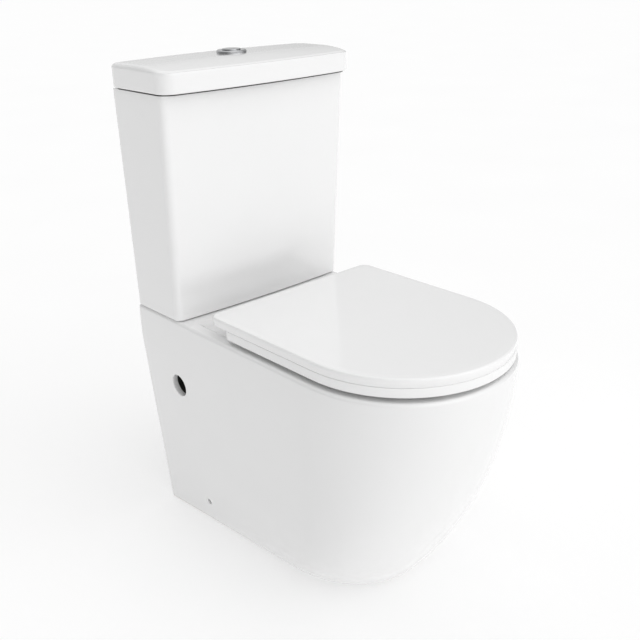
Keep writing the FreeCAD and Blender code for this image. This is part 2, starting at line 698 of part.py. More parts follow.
# ---- Dual flush button ----
def make_button_housing():
    """Chrome flange with a threaded sleeve that has a web for the springs."""
    bore = BUTTON_RADIUS + BUTTON_CLEARANCE
    top = FLANGE_HEIGHT
    profile = [(HOUSING_THREAD_RADIUS, 0), (FLANGE_RADIUS, 0), (FLANGE_RADIUS, top - FLANGE_BEVEL)]
    profile += [(FLANGE_RADIUS - FLANGE_BEVEL, top), (bore + BORE_EDGE, top), (bore, top - BORE_EDGE)]
    profile += [(bore, -HOUSING_DEPTH), (HOUSING_THREAD_RADIUS, -HOUSING_DEPTH)]
    housing = turned(profile, 0, BUTTON_FROM_WALL, LID_TOP)
    bottom = LID_TOP - HOUSING_DEPTH
    middle = (bore + HOUSING_THREAD_RADIUS) / 2
    housing = housing.fuse(post(middle, (bottom, bottom + HOUSING_WEB), 0, BUTTON_FROM_WALL))
    for side in (-1, 1):
        hole = post(ROD_RADIUS + ROD_CLEARANCE, (LID_BASE, LID_TOP), side * ROD_OFFSET, BUTTON_FROM_WALL)
        housing = housing.cut(hole)
    return housing


def make_button(side):
    """One half of the split button; side is -1 for the left half and 1 for the right."""
    top = LID_TOP + BUTTON_PROUD
    disc = post(BUTTON_RADIUS, (LID_TOP - BUTTON_SKIRT, top), 0, BUTTON_FROM_WALL)
    disc = disc.makeFillet(BUTTON_EDGE, edges_at(disc, top))
    x_range = sorted((side * BUTTON_SPLIT / 2, side * 2 * BUTTON_RADIUS))
    walls = (BUTTON_FROM_WALL - 2 * BUTTON_RADIUS, BUTTON_FROM_WALL + 2 * BUTTON_RADIUS)
    return disc.common(box(x_range, walls, (LID_BASE, top + OVERRUN)))


def make_button_spring(side):
    """Compression spring between the housing's web and a button."""
    bottom = LID_TOP - HOUSING_DEPTH + HOUSING_WEB + SPRING_WIRE_RADIUS
    height = HOUSING_DEPTH - HOUSING_WEB - BUTTON_SKIRT - 2 * SPRING_WIRE_RADIUS
    helix = Part.makeHelix(height / SPRING_TURNS, height, SPRING_COIL_RADIUS)
    start = Vector(SPRING_COIL_RADIUS, 0, 0)
    wire = Part.Wire(Part.makeCircle(SPRING_WIRE_RADIUS, start, Y_AXIS))
    spring = Part.Wire(helix).makePipeShell([wire], True, True)
    spring.translate(Vector(side * ROD_OFFSET, from_wall(BUTTON_FROM_WALL), bottom))
    return spring


def make_push_rod(side):
    """Rod from a button down to its plunger on the flush valve."""
    span = (PLUNGER_TOP + PLUNGER_GAP, LID_TOP - BUTTON_SKIRT)
    return post(ROD_RADIUS, span, side * ROD_OFFSET, BUTTON_FROM_WALL)


def make_button_nut():
    """Ring nut that clamps the button housing to the lid from below."""
    span = (LID_CEILING - BUTTON_NUT_HEIGHT, LID_CEILING)
    nut = prism(BUTTON_NUT_RADIUS, 8, span, 0, BUTTON_FROM_WALL)
    return nut.cut(post(HOUSING_THREAD_RADIUS, (span[0] - 1, span[1] + 1), 0, BUTTON_FROM_WALL))


# ---- Flush valve ----
def make_flush_valve_base():
    """Threaded tail, flange, valve seat and the ribs that carry the tower."""
    under = CISTERN_FLOOR_TOP + GASKET_THICKNESS
    tail = ring(VALVE_TAIL_RADIUS, VALVE_BORE, (under - VALVE_TAIL_LENGTH, under), 0, FLUSH_FROM_WALL)
    flange = ring(VALVE_FLANGE_RADIUS, VALVE_BORE, (under, VALVE_FLANGE_TOP), 0, FLUSH_FROM_WALL)
    seat = ring(VALVE_SEAT_RADIUS, VALVE_BORE, (VALVE_FLANGE_TOP, VALVE_SEAT_TOP), 0, FLUSH_FROM_WALL)
    base = tail.multiFuse([flange, seat])
    cage = ring(CAGE_RADIUS, CAGE_RADIUS - CAGE_WALL, (VALVE_FLANGE_TOP, TOWER_BASE), 0, FLUSH_FROM_WALL)
    half = CAGE_RIB_WIDTH / 2
    across = (FLUSH_FROM_WALL - CAGE_RADIUS, FLUSH_FROM_WALL + CAGE_RADIUS)
    middle = (FLUSH_FROM_WALL - half, FLUSH_FROM_WALL + half)
    span = (VALVE_FLANGE_TOP, TOWER_BASE)
    cross = box((-half, half), across, span).fuse(box((-CAGE_RADIUS, CAGE_RADIUS), middle, span))
    return base.fuse(cage.common(cross))


def make_flush_valve_tower():
    """Housing on top of the ribs, open below, with a window on each side."""
    shell = post(CAGE_RADIUS, (TOWER_BASE, TOWER_TOP), 0, FLUSH_FROM_WALL)
    inner = CAGE_RADIUS - CAGE_WALL
    shell = shell.cut(post(inner, (TOWER_BASE - 1, TOWER_TOP - TOWER_CAP), 0, FLUSH_FROM_WALL))
    width, bottom, top = TOWER_WINDOW
    walls = (FLUSH_FROM_WALL - width / 2, FLUSH_FROM_WALL + width / 2)
    window = (TOWER_BASE + bottom, TOWER_BASE + top)
    shell = shell.cut(box((-2 * CAGE_RADIUS, 2 * CAGE_RADIUS), walls, window))
    for side in (-1, 1):
        hole = (PLUNGER_RADIUS + ROD_CLEARANCE, (TOWER_BASE, TOWER_TOP + 1))
        shell = shell.cut(post(*hole, side * ROD_OFFSET, BUTTON_FROM_WALL))
    return shell


def make_plunger(side):
    """Cap on the tower that a push rod presses down."""
    span = (PLUNGER_TOP - PLUNGER_LENGTH, PLUNGER_TOP)
    return post(PLUNGER_RADIUS, span, side * ROD_OFFSET, BUTTON_FROM_WALL)


def make_flush_valve_plug():
    """Overflow tube with the disc that closes the valve."""
    bottom = VALVE_SEAT_TOP + PLUG_GAP + PLUG_SEAL_HEIGHT
    tube_bore = OVERFLOW_RADIUS - OVERFLOW_WALL
    tube = ring(OVERFLOW_RADIUS, tube_bore, (bottom, bottom + OVERFLOW_HEIGHT), 0, FLUSH_FROM_WALL)
    disc_radius = PLUG_SEAL_RADIUS - 1.0
    disc = ring(disc_radius, tube_bore, (bottom, bottom + PLUG_DISC_HEIGHT), 0, FLUSH_FROM_WALL)
    return tube.fuse(disc)


def make_plug_seal():
    """Rubber ring under the plug."""
    bottom = VALVE_SEAT_TOP + PLUG_GAP
    tube_bore = OVERFLOW_RADIUS - OVERFLOW_WALL
    return ring(PLUG_SEAL_RADIUS, tube_bore, (bottom, bottom + PLUG_SEAL_HEIGHT), 0, FLUSH_FROM_WALL)


def make_flush_valve_gasket():
    """Rubber ring between the valve's flange and the cistern's floor."""
    span = (CISTERN_FLOOR_TOP, CISTERN_FLOOR_TOP + GASKET_THICKNESS)
    return ring(VALVE_FLANGE_RADIUS - 1.0, VALVE_TAIL_RADIUS, span, 0, FLUSH_FROM_WALL)


def make_flush_valve_nut():
    """Back nut under the cistern."""
    span = (CISTERN_BASE - VALVE_NUT_HEIGHT, CISTERN_BASE)
    nut = prism(VALVE_NUT_RADIUS, 8, span, 0, FLUSH_FROM_WALL)
    return nut.cut(post(VALVE_TAIL_RADIUS, (span[0] - 1, span[1] + 1), 0, FLUSH_FROM_WALL))


def make_coupling_seal():
    """Rubber doughnut between cistern and pan, around the back nut."""
    radius = INLET_RECESS_RADIUS - DOUGHNUT_CLEARANCE
    return ring(radius, radius - DOUGHNUT_WALL, (RECESS_FLOOR, CISTERN_BASE), 0, FLUSH_FROM_WALL)


# ---- Coupling bolts: the left one of each, mirrored to the right ----
def at_coupling(radius, z_range, bore=None):
    """Post on the left bolt's axis, or a ring where a bore is given."""
    place = (-COUPLING_SPACING / 2, FLUSH_FROM_WALL)
    return ring(radius, bore, z_range, *place) if bore else post(radius, z_range, *place)


def make_coupling_bolts():
    """Round-headed bolts through the cistern's floor and the pan's deck."""
    seat = CISTERN_FLOOR_TOP + BOLT_SEAL[1]
    shank = at_coupling(COUPLING_BOLT_RADIUS, (PAN_HEIGHT - COUPLING_BOLT_BELOW, seat))
    head = at_coupling(BOLT_HEAD[0], (seat, seat + BOLT_HEAD[1]))
    return pair(shank.fuse(head))


def make_coupling_bolt_seals():
    """Rubber washers under the bolt heads."""
    span = (CISTERN_FLOOR_TOP, CISTERN_FLOOR_TOP + BOLT_SEAL[1])
    return pair(at_coupling(BOLT_SEAL[0], span, COUPLING_BOLT_RADIUS))


def make_coupling_spacers():
    """Thin pads that keep the two castings apart."""
    return pair(at_coupling(SPACER_RADIUS, (PAN_HEIGHT, CISTERN_BASE), COUPLING_HOLE_RADIUS))


def make_coupling_washers():
    """Steel washers under the deck."""
    return pair(at_coupling(WASHER[0], (DECK_UNDER - WASHER[1], DECK_UNDER), COUPLING_BOLT_RADIUS))


def make_coupling_wing_nuts():
    """Wing nuts under the washers."""
    radius, height, reach, thickness = WING_NUT
    top = DECK_UNDER - WASHER[1]
    x = -COUPLING_SPACING / 2
    hub = post(radius, (top - height, top), x, FLUSH_FROM_WALL)
    walls = (FLUSH_FROM_WALL - thickness / 2, FLUSH_FROM_WALL + thickness / 2)
    wings = box((x - reach, x + reach), walls, (top - height, top - height / 4))
    bore = post(COUPLING_BOLT_RADIUS, (top - 2 * height, top + 1), x, FLUSH_FROM_WALL)
    return pair(hub.fuse(wings).cut(bore))


# ---- Fill valve ----
def make_fill_valve_body():
    """Threaded tail, flange, column and the head whose ears carry the lever."""
    bottom = FILL_BASE - FILL_TAIL_LENGTH
    tail = post(FILL_TAIL_RADIUS, (bottom, FILL_BASE), FILL_X, FILL_FROM_WALL)
    flange = post(FILL_FLANGE[0], (FILL_BASE, FILL_BASE + FILL_FLANGE[1]), FILL_X, FILL_FROM_WALL)
    column = post(COLUMN_RADIUS, (FILL_BASE, COLUMN_TOP), FILL_X, FILL_FROM_WALL)
    head = post(HEAD_RADIUS, (COLUMN_TOP, HEAD_TOP), FILL_X, FILL_FROM_WALL)
    body = tail.multiFuse([flange, column, head])
    inner = LEVER_WIDTH / 2 + EAR_CLEARANCE
    for side in (-1, 1):
        walls = sorted((FILL_FROM_WALL + side * inner, FILL_FROM_WALL + side * (inner + EAR_THICKNESS)))
        half = LEVER_HUB_RADIUS
        ear = box((FILL_X - half, FILL_X + half), walls, (HEAD_TOP - 1, LEVER_PIVOT + half))
        body = body.fuse(ear)
    pin_start = Vector(FILL_X, from_wall(FILL_FROM_WALL + HEAD_RADIUS), LEVER_PIVOT)
    body = body.cut(Part.makeCylinder(LEVER_PIN_RADIUS, 2 * HEAD_RADIUS, pin_start, Y_AXIS))
    groove_height, groove_depth = FILL_TAIL_GROOVE
    under_nut = CISTERN_BASE - FILL_NUT[1]
    span = (under_nut - groove_height, under_nut)
    groove_floor = FILL_TAIL_RADIUS - groove_depth
    body = body.cut(ring(FILL_TAIL_RADIUS + groove_depth, groove_floor, span, FILL_X, FILL_FROM_WALL))
    return body.cut(post(FILL_TAIL_BORE, (bottom - 1, COLUMN_TOP), FILL_X, FILL_FROM_WALL))


def make_fill_valve_washer():
    """Rubber washer on the cistern's floor."""
    span = (CISTERN_FLOOR_TOP, FILL_BASE)
    return ring(FILL_FLANGE[0] - 1, FILL_TAIL_RADIUS, span, FILL_X, FILL_FROM_WALL)


def make_fill_valve_nut():
    """Plastic nut under the cistern, inside the hole in the deck."""
    radius, height = FILL_NUT
    nut = prism(radius, 6, (CISTERN_BASE - height, CISTERN_BASE), FILL_X, FILL_FROM_WALL)
    bore = post(FILL_TAIL_RADIUS, (CISTERN_BASE - height - 1, CISTERN_BASE + 1), FILL_X, FILL_FROM_WALL)
    return nut.cut(bore)


def make_fill_valve_float():
    """Float cup that slides on the column, with the link that lifts the lever."""
    bottom = FILL_BASE + FLOAT_START
    bore = COLUMN_RADIUS + FLOAT_CLEARANCE
    cup = ring(FLOAT_RADIUS, bore, (bottom, bottom + FLOAT_HEIGHT), FILL_X, FILL_FROM_WALL)
    span = (bottom + FLOAT_HEIGHT - 1, LEVER_PIVOT - LEVER_THICKNESS / 2 - LEVER_LINK_GAP)
    return cup.fuse(post(LEVER_LINK_RADIUS, span, FILL_X - LEVER_LINK_ARM, FILL_FROM_WALL))


def make_fill_valve_lever():
    """Lever on the head, lifted by the float's link."""
    half = LEVER_WIDTH / 2
    start = Vector(FILL_X, from_wall(FILL_FROM_WALL + half), LEVER_PIVOT)
    hub = Part.makeCylinder(LEVER_HUB_RADIUS, LEVER_WIDTH, start, Y_AXIS)
    walls = (FILL_FROM_WALL - half, FILL_FROM_WALL + half)
    heights = (LEVER_PIVOT - LEVER_THICKNESS / 2, LEVER_PIVOT + LEVER_THICKNESS / 2)
    arm = box((FILL_X - LEVER_ARM, FILL_X), walls, heights)
    bore_start = start - Y_AXIS * OVERRUN
    length = LEVER_WIDTH + 2 * OVERRUN
    bore = Part.makeCylinder(LEVER_PIN_RADIUS + HINGE_RUNNING, length, bore_start, Y_AXIS)
    return hub.fuse(arm).cut(bore)


def make_lever_pin():
    """Pin through the ears and the lever."""
    reach = LEVER_WIDTH / 2 + EAR_CLEARANCE + EAR_THICKNESS
    start = Vector(FILL_X, from_wall(FILL_FROM_WALL + reach), LEVER_PIVOT)
    return Part.makeCylinder(LEVER_PIN_RADIUS, 2 * reach, start, Y_AXIS)


# ---- Seat, seat lid and hinges ----
def cover_wire(level, rear, corner, inset=0.0):
    """Plan of the seat or its lid: straight rear and sides, round front and rear corners."""
    half_width = SEAT_HALF_WIDTH - inset
    reach = SEAT_FRONT - SEAT_SIDE_END - inset
    radius = corner - inset
    power = 2 / SEAT_ROUNDNESS
    front = []
    for i in range(SEAT_NOSE_STEPS + 1):
        angle = math.pi * i / SEAT_NOSE_STEPS
        c, s = math.cos(angle), math.sin(angle)
        x = -half_width * math.copysign(abs(c) ** power, c)
        front.append(Vector(x, from_wall(SEAT_SIDE_END + reach * abs(s) ** power), level))
    curve = Part.BSplineCurve()
    curve.interpolate(Points=front, InitialTangent=Vector(0, -1, 0), FinalTangent=Vector(0, 1, 0))
    back = from_wall(rear + inset)
    bulge = radius * (1 - math.sqrt(0.5))
    edges = [curve.toShape()]
    right = [Vector(half_width, back - radius, level), Vector(half_width - bulge, back - bulge, level)]
    right.append(Vector(half_width - radius, back, level))
    left = [Vector(-p.x, p.y, p.z) for p in reversed(right)]
    edges.append(Part.LineSegment(front[-1], right[0]).toShape())
    edges.append(Part.Arc(*right).toShape())
    edges.append(Part.LineSegment(right[-1], left[0]).toShape())
    edges.append(Part.Arc(*left).toShape())
    edges.append(Part.LineSegment(left[-1], front[0]).toShape())
    return Part.Wire(edges)


def cover_block(z_range, rear, corner, inset=0.0, base_edge=0.0, top_edge=0.0):
    """Slab with the cover's plan, its lower and upper edges rounded."""
    low = z_range[0] + base_edge
    high = z_range[1] - top_edge
    slab = Part.Face(cover_wire(low, rear, corner, inset)).extrude(Z_AXIS * (high - low))

    def plan(level, step):
        """The plan again, drawn inwards by a step."""
        return cover_wire(level, rear, corner, inset + step)

    if base_edge:
        slab = slab.fuse(rounded_layer(plan, low, base_edge, False))
    if top_edge:
        slab = slab.fuse(rounded_layer(plan, high, top_edge))
    return slab


def hinge_lug(x_range, walls, z_range):
    """Lug around the hinge axis, reaching forwards or upwards into its cover."""
    eye = cross_bar(HINGE_EYE_RADIUS, x_range, HINGE_FROM_WALL, HINGE_AXIS)
    return eye.fuse(box(x_range, walls, z_range))


def lug_range(outer):
    """Span of a lug in x, beside the hinge's stem: outside it for the seat, inside for the lid."""
    near = HINGE_STEM_WIDTH / 2 + HINGE_SIDE_GAP
    far = near + HINGE_LUG_WIDTH
    middle = HINGE_SPACING / 2
    return (middle + near, middle + far) if outer else (middle - far, middle - near)


def with_lugs(cover, lug):
    """A cover with a lug on each side, bored for the hinge pins."""
    cover = cover.fuse(lug).fuse(mirrored(lug))
    ends = (-HINGE_SPACING, HINGE_SPACING)
    return cover.cut(cross_bar(HINGE_PIN_RADIUS + HINGE_RUNNING, ends, HINGE_FROM_WALL, HINGE_AXIS))


def make_seat():
    """The seat ring."""
    slab = cover_block((SEAT_BASE, SEAT_TOP), SEAT_REAR, SEAT_CORNER, 0.0, SEAT_EDGE, SEAT_TOP_EDGE)
    walls = (HINGE_FROM_WALL, SEAT_REAR + SEAT_CORNER)
    heights = (SEAT_BASE + SEAT_EDGE / 3, HINGE_AXIS + HINGE_EYE_RADIUS)
    seat = with_lugs(slab, hinge_lug(lug_range(True), walls, heights))
    opening = Part.Face(oval_wire(SEAT_BASE - 1, *SEAT_OPENING, BOWL_ROUNDNESS))
    seat = seat.cut(opening.extrude(Z_AXIS * (SEAT_THICKNESS + 2)))
    return seat.cut(mouth_flare(SEAT_OPENING, SEAT_TOP, SEAT_MOUTH_EDGE))


def make_seat_lid():
    """The seat's lid, hollow underneath."""
    heights = (SEAT_LID_BASE, SEAT_LID_TOP)
    slab = cover_block(heights, SEAT_LID_REAR, SEAT_LID_CORNER, 0.0, 0.0, SEAT_LID_EDGE)
    heights = (SEAT_LID_BASE - 1, SEAT_LID_BASE + SEAT_LID_RECESS)
    lid = slab.cut(cover_block(heights, SEAT_LID_REAR, SEAT_LID_CORNER, SEAT_LID_RIM))
    walls = (HINGE_FROM_WALL - HINGE_EYE_RADIUS, HINGE_FROM_WALL + HINGE_EYE_RADIUS)
    lug = hinge_lug(lug_range(False), walls, (HINGE_AXIS, SEAT_LID_BASE + SEAT_LID_RECESS + 1))
    return with_lugs(lid, lug)


def pads(places, z_range):
    """Round pads at a list of places, on both sides."""
    solids = []
    for x, wall in places:
        pad = post(BUFFER_RADIUS, z_range, x, wall)
        solids += [pad, mirrored(pad)]
    return Part.makeCompound(solids)


def make_seat_buffers():
    """Pads under the seat."""
    return pads(SEAT_BUFFERS, (PAN_HEIGHT + BUFFER_GAP, SEAT_BASE))


def make_lid_buffers():
    """Pads under the seat's lid."""
    return pads(LID_BUFFERS, (SEAT_TOP + BUFFER_GAP, SEAT_LID_BASE + SEAT_LID_RECESS))


def make_hinge_base():
    """Left hinge base: foot disc, stem and eye."""
    x = -HINGE_SPACING / 2
    span = (x - HINGE_STEM_WIDTH / 2, x + HINGE_STEM_WIDTH / 2)
    foot = post(HINGE_BASE[0], (TRAY_TOP, TRAY_TOP + HINGE_BASE[1]), x, HINGE_FROM_WALL)
    walls = (HINGE_FROM_WALL - HINGE_EYE_RADIUS, HINGE_FROM_WALL + HINGE_EYE_RADIUS)
    base = foot.fuse(hinge_lug(span, walls, (TRAY_TOP, HINGE_AXIS)))
    base = base.cut(cross_bar(HINGE_PIN_RADIUS, (-HINGE_SPACING, 0), HINGE_FROM_WALL, HINGE_AXIS))
    bolt_span = (TRAY_TOP - 1, TRAY_TOP + HINGE_BOLT_ABOVE)
    return base.cut(post(HINGE_BOLT_RADIUS, bolt_span, x, HINGE_FROM_WALL))


def make_hinge_pin():
    """Left damper barrel, fixed in the base and running in the lugs."""
    span = (-lug_range(True)[1], -lug_range(False)[0])
    return cross_bar(HINGE_PIN_RADIUS, span, HINGE_FROM_WALL, HINGE_AXIS)


def at_hinge(radius, bore, z_range):
    """Ring on the left hinge bolt's axis."""
    return ring(radius, bore, z_range, -HINGE_SPACING / 2, HINGE_FROM_WALL)


def make_hinge_bolts():
    """Studs that hold the hinge bases down."""
    span = (TRAY_TOP - HINGE_BOLT_BELOW, TRAY_TOP + HINGE_BOLT_ABOVE)
    return pair(post(HINGE_BOLT_RADIUS, span, -HINGE_SPACING / 2, HINGE_FROM_WALL))


def make_hinge_sleeves():
    """Rubber sleeves that fill the holes in the pan."""
    radius = HINGE_HOLE_RADIUS - HINGE_SLEEVE_CLEARANCE
    return pair(at_hinge(radius, HINGE_BOLT_RADIUS, (TRAY_TOP - HINGE_SLEEVE_LENGTH, TRAY_TOP)))


def make_hinge_nuts():
    """Nuts under the sleeves."""
    radius, height = HINGE_NUT
    top = TRAY_TOP - HINGE_SLEEVE_LENGTH
    nut = prism(radius, 6, (top - height, top), -HINGE_SPACING / 2, HINGE_FROM_WALL)
    bore = post(HINGE_BOLT_RADIUS, (top - 2 * height, top + 1), -HINGE_SPACING / 2, HINGE_FROM_WALL)
    return pair(nut.cut(bore))


def make_floor_brackets():
    """Angles that stand on the floor inside the skirt, in line with the fixing holes."""
    thickness, height = BRACKET_UPRIGHT
    near = FIXING_HOLE_FROM_WALL - BRACKET_WIDTH / 2
    far = FIXING_HOLE_FROM_WALL + BRACKET_WIDTH / 2
    inside = min(skirt_half_width(z, wall) for z in (0.0, height) for wall in (near, far))
    outer = inside - PAN_WALL - BRACKET_CLEARANCE
    foot = box((outer - BRACKET_FOOT[0], outer), (near, far), (0, BRACKET_FOOT[1]))
    upright = box((outer - thickness, outer), (near, far), (0, height))
    bracket = foot.fuse(upright)
    pilot = cross_bar(BRACKET_PILOT_RADIUS, (0, 2 * outer), FIXING_HOLE_FROM_WALL, FIXING_HOLE_HEIGHT)
    screw = post(BRACKET_SCREW_RADIUS, (-1, height), outer - BRACKET_SCREW_INSET, FIXING_HOLE_FROM_WALL)
    return pair(bracket.cut(pilot).cut(screw))


def build():
    """Every sub-part by name."""
    left_base = make_hinge_base()
    left_pin = make_hinge_pin()
    return {
        "pan": make_pan(),
        "pan_bowl": make_pan_bowl(),
        "pan_trap": make_pan_trap(),
        "pan_duct": make_pan_duct(),
        "cistern": make_cistern(),
        "cistern_lid": make_cistern_lid(),
        "button_housing": make_button_housing(),
        "button_nut": make_button_nut(),
        "full_flush_button": make_button(1),
        "half_flush_button": make_button(-1),
        "full_button_spring": make_button_spring(1),
        "half_button_spring": make_button_spring(-1),
        "full_push_rod": make_push_rod(1),
        "half_push_rod": make_push_rod(-1),
        "flush_valve_base": make_flush_valve_base(),
        "flush_valve_tower": make_flush_valve_tower(),
        "flush_valve_plug": make_flush_valve_plug(),
        "plug_seal": make_plug_seal(),
        "full_plunger": make_plunger(1),
        "half_plunger": make_plunger(-1),
        "flush_valve_gasket": make_flush_valve_gasket(),
        "flush_valve_nut": make_flush_valve_nut(),
        "coupling_seal": make_coupling_seal(),
        "coupling_bolts": make_coupling_bolts(),
        "coupling_bolt_seals": make_coupling_bolt_seals(),
        "coupling_spacers": make_coupling_spacers(),
        "coupling_washers": make_coupling_washers(),
        "coupling_wing_nuts": make_coupling_wing_nuts(),
        "fill_valve_body": make_fill_valve_body(),
        "fill_valve_washer": make_fill_valve_washer(),
        "fill_valve_nut": make_fill_valve_nut(),
        "fill_valve_float": make_fill_valve_float(),
        "fill_valve_lever": make_fill_valve_lever(),
        "lever_pin": make_lever_pin(),
        "seat": make_seat(),
        "seat_lid": make_seat_lid(),
        "seat_buffers": make_seat_buffers(),
        "lid_buffers": make_lid_buffers(),
        "hinge_base_left": left_base,
        "hinge_base_right": mirrored(left_base),
        "hinge_pin_left": left_pin,
        "hinge_pin_right": mirrored(left_pin),
        "hinge_bolts": make_hinge_bolts(),
        "hinge_sleeves": make_hinge_sleeves(),
        "hinge_nuts": make_hinge_nuts(),
        "floor_brackets": make_floor_brackets(),
    }


def main():
    """Build every sub-part and write it to its own file."""
    os.makedirs("parts", exist_ok=True)
    for name, shape in build().items():
        if not shape.isValid() or shape.Volume <= 0:
            raise ValueError(name + " is not a sound solid")
        shape.exportStep("parts/" + name + ".step")
        print(name, len(shape.Solids), round(shape.Volume / 1000, 2), "cm3")


main()
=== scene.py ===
"""Looks of a close coupled toilet: smooth castings, seat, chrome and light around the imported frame."""

import logging
import math
from dataclasses import dataclass, field
from enum import Enum
from typing import Any, Callable, Iterable, Sequence

import bmesh
import bpy
from mathutils import Matrix, Vector


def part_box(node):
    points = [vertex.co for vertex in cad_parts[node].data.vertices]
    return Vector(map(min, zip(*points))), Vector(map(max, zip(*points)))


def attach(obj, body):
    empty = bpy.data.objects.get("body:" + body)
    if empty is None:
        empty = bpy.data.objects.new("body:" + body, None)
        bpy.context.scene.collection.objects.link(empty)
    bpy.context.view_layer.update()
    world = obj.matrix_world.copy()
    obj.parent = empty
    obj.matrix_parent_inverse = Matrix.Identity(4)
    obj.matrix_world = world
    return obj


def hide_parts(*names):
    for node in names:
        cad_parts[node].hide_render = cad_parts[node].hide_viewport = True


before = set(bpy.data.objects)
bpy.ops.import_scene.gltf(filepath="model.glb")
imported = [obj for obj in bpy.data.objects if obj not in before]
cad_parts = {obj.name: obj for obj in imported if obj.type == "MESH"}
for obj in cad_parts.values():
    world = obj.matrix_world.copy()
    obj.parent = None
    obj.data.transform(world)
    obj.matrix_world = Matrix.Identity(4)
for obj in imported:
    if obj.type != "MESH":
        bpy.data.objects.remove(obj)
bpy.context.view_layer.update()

LOG = logging.getLogger("toilet")
MM = 0.001
SAME_PLACE = 0.01 * MM
SHARP_ANGLE = math.radians(50)

Plan = list[Vector]
Ring = list[bmesh.types.BMVert]
Mesh = bmesh.types.BMesh
Pair = tuple[float, float]
Triple = tuple[float, float, float]


# ---------------------------------------------------------------- measures
def node_box(node: str) -> tuple[Vector, Vector]:
    """Lowest and highest corner of a CAD node."""
    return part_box(node)


WALL_Y = node_box("pan")[1].y


def from_wall(distance: float) -> float:
    """Y of a point at a distance in front of the wall."""
    return WALL_Y - distance


def wall_point(x: float, wall: float, height: float) -> Vector:
    """Point at a distance in front of the wall."""
    return Vector((x, from_wall(wall), height))


def blend(low: float, high: float, share: float) -> float:
    """Value between two others."""
    return low + (high - low) * share


def smooth_step(low: float, high: float, value: float) -> float:
    """Rise from 0 to 1 between two limits, with no kink at either."""
    share = min(max((value - low) / (high - low), 0.0), 1.0)
    return share * share * (3 - 2 * share)


def quarter_round(radius: float, steps: int) -> list[Pair]:
    """Steps of a quarter round, starting on the side wall.

    Args:
        radius: radius of the round.
        steps: number of steps.

    Returns:
        Pairs of rise above the start and distance inwards.
    """
    turns = [math.pi / 2 * i / steps for i in range(steps + 1)]
    return [(radius * math.sin(turn), radius * (1 - math.cos(turn))) for turn in turns]


def quarter_under(radius: float, steps: int) -> list[Pair]:
    """Steps of a quarter round in reverse, ending on the side wall, without the first."""
    return list(reversed(quarter_round(radius, steps)))[1:]


def oval_reach(direction: Pair, across: float, along: float, roundness: float) -> float:
    """Distance from an oval's centre to its edge.

    Args:
        direction: unit direction, across and along.
        across: half width.
        along: half length.
        roundness: 2 for an ellipse, more for a squarer oval.

    Returns:
        The distance in that direction.
    """
    shares = (abs(direction[0]) / across) ** roundness + (abs(direction[1]) / along) ** roundness
    return shares ** (-1 / roundness)


def directions_from(plan: Plan, centre_y: float) -> list[Pair]:
    """Unit directions of a plan's points, seen from a point on the middle plane.

    Args:
        plan: the points.
        centre_y: Y of the point that they are seen from.

    Returns:
        One direction for each point, across and along.
    """
    found = []
    for point in plan:
        offset = Vector((point.x, point.y - centre_y)).normalized()
        found.append((offset.x, offset.y))
    return found


def between(start: Plan, end: Plan, share: float) -> Plan:
    """Plan part of the way from one plan to another."""
    return [a.lerp(b, share) for a, b in zip(start, end)]


def at_height(plan: Plan, height: float) -> Plan:
    """The same plan at another height."""
    return [Vector((p.x, p.y, height)) for p in plan]


def mirrored(half: Sequence[Pair], height: float) -> Plan:
    """Closed plan from its +X half, whose points are a half width and a distance from the wall."""
    right = [wall_point(x, wall, height) for x, wall in half]
    return right + [Vector((-p.x, p.y, p.z)) for p in reversed(right[1:-1])]


# ---------------------------------------------------------------- meshes
class RingSkin:
    """A skin that grows ring by ring: each ring is an extrusion of the last one."""

    def __init__(self, plan: Plan) -> None:
        """Starts the skin with one ring.

        Args:
            plan: the ring's points.
        """
        self.bm = bmesh.new()
        made = bmesh.ops.create_circle(self.bm, cap_ends=False, segments=len(plan), radius=1.0)
        self.rings: list[Ring] = [made["verts"]]
        self._place(self.rings[0], plan)

    @staticmethod
    def _place(ring: Ring, plan: Plan) -> None:
        """Moves a ring's vertices to a plan."""
        for vertex, point in zip(ring, plan):
            vertex.co = point

    def _edges(self, ring: Ring) -> list[bmesh.types.BMEdge]:
        """Edges of a closed ring."""
        return [self.bm.edges.get(pair) for pair in zip(ring, [*ring[1:], ring[0]])]

    def extruded(self, loop: Ring, plan: Plan) -> Ring:
        """Extrudes a closed loop and places the new one.

        Args:
            loop: vertices in order.
            plan: where the new vertices go.

        Returns:
            The new vertices, in the loop's order.
        """
        made = bmesh.ops.extrude_edge_only(self.bm, edges=self._edges(loop))
        fresh = {item for item in made["geom"] if isinstance(item, bmesh.types.BMVert)}
        ring = []
        for vertex in loop:
            others = (edge.other_vert(vertex) for edge in vertex.link_edges)
            ring.append(next(other for other in others if other in fresh))
        self._place(ring, plan)
        return ring

    def grow(self, plans: Iterable[Plan]) -> None:
        """Adds one ring for each plan."""
        for plan in plans:
            self.rings.append(self.extruded(self.rings[-1], plan))

    def cap(self, ring: Ring) -> None:
        """Closes a ring with one flat face."""
        bmesh.ops.contextual_create(self.bm, geom=self._edges(ring))

    def copied(self, index: int) -> Plan:
        """Points of one ring."""
        return [vertex.co.copy() for vertex in self.rings[index]]

    def bridge(self, end: Plan, steps: int) -> None:
        """Grows in even steps from the last ring to a plan."""
        start = self.copied(-1)
        self.grow(between(start, end, i / steps) for i in range(1, steps + 1))

    def close(self, steps: int = 1) -> None:
        """Joins the last ring back to the first in even steps."""
        last, first = self.copied(-1), self.copied(0)
        self.grow([*(between(last, first, i / steps) for i in range(1, steps)), first])

    def mark_painted_shade(self, first: int) -> None:
        """Gives the second finish, the near-black painted shade, to every face whose corners all lie on the
        last rings.

        Args:
            first: index of the first of those rings.
        """
        shaded_verts = {vertex for ring in self.rings[first:] for vertex in ring}
        for face in self.bm.faces:
            face.material_index = int(all(vertex in shaded_verts for vertex in face.verts))


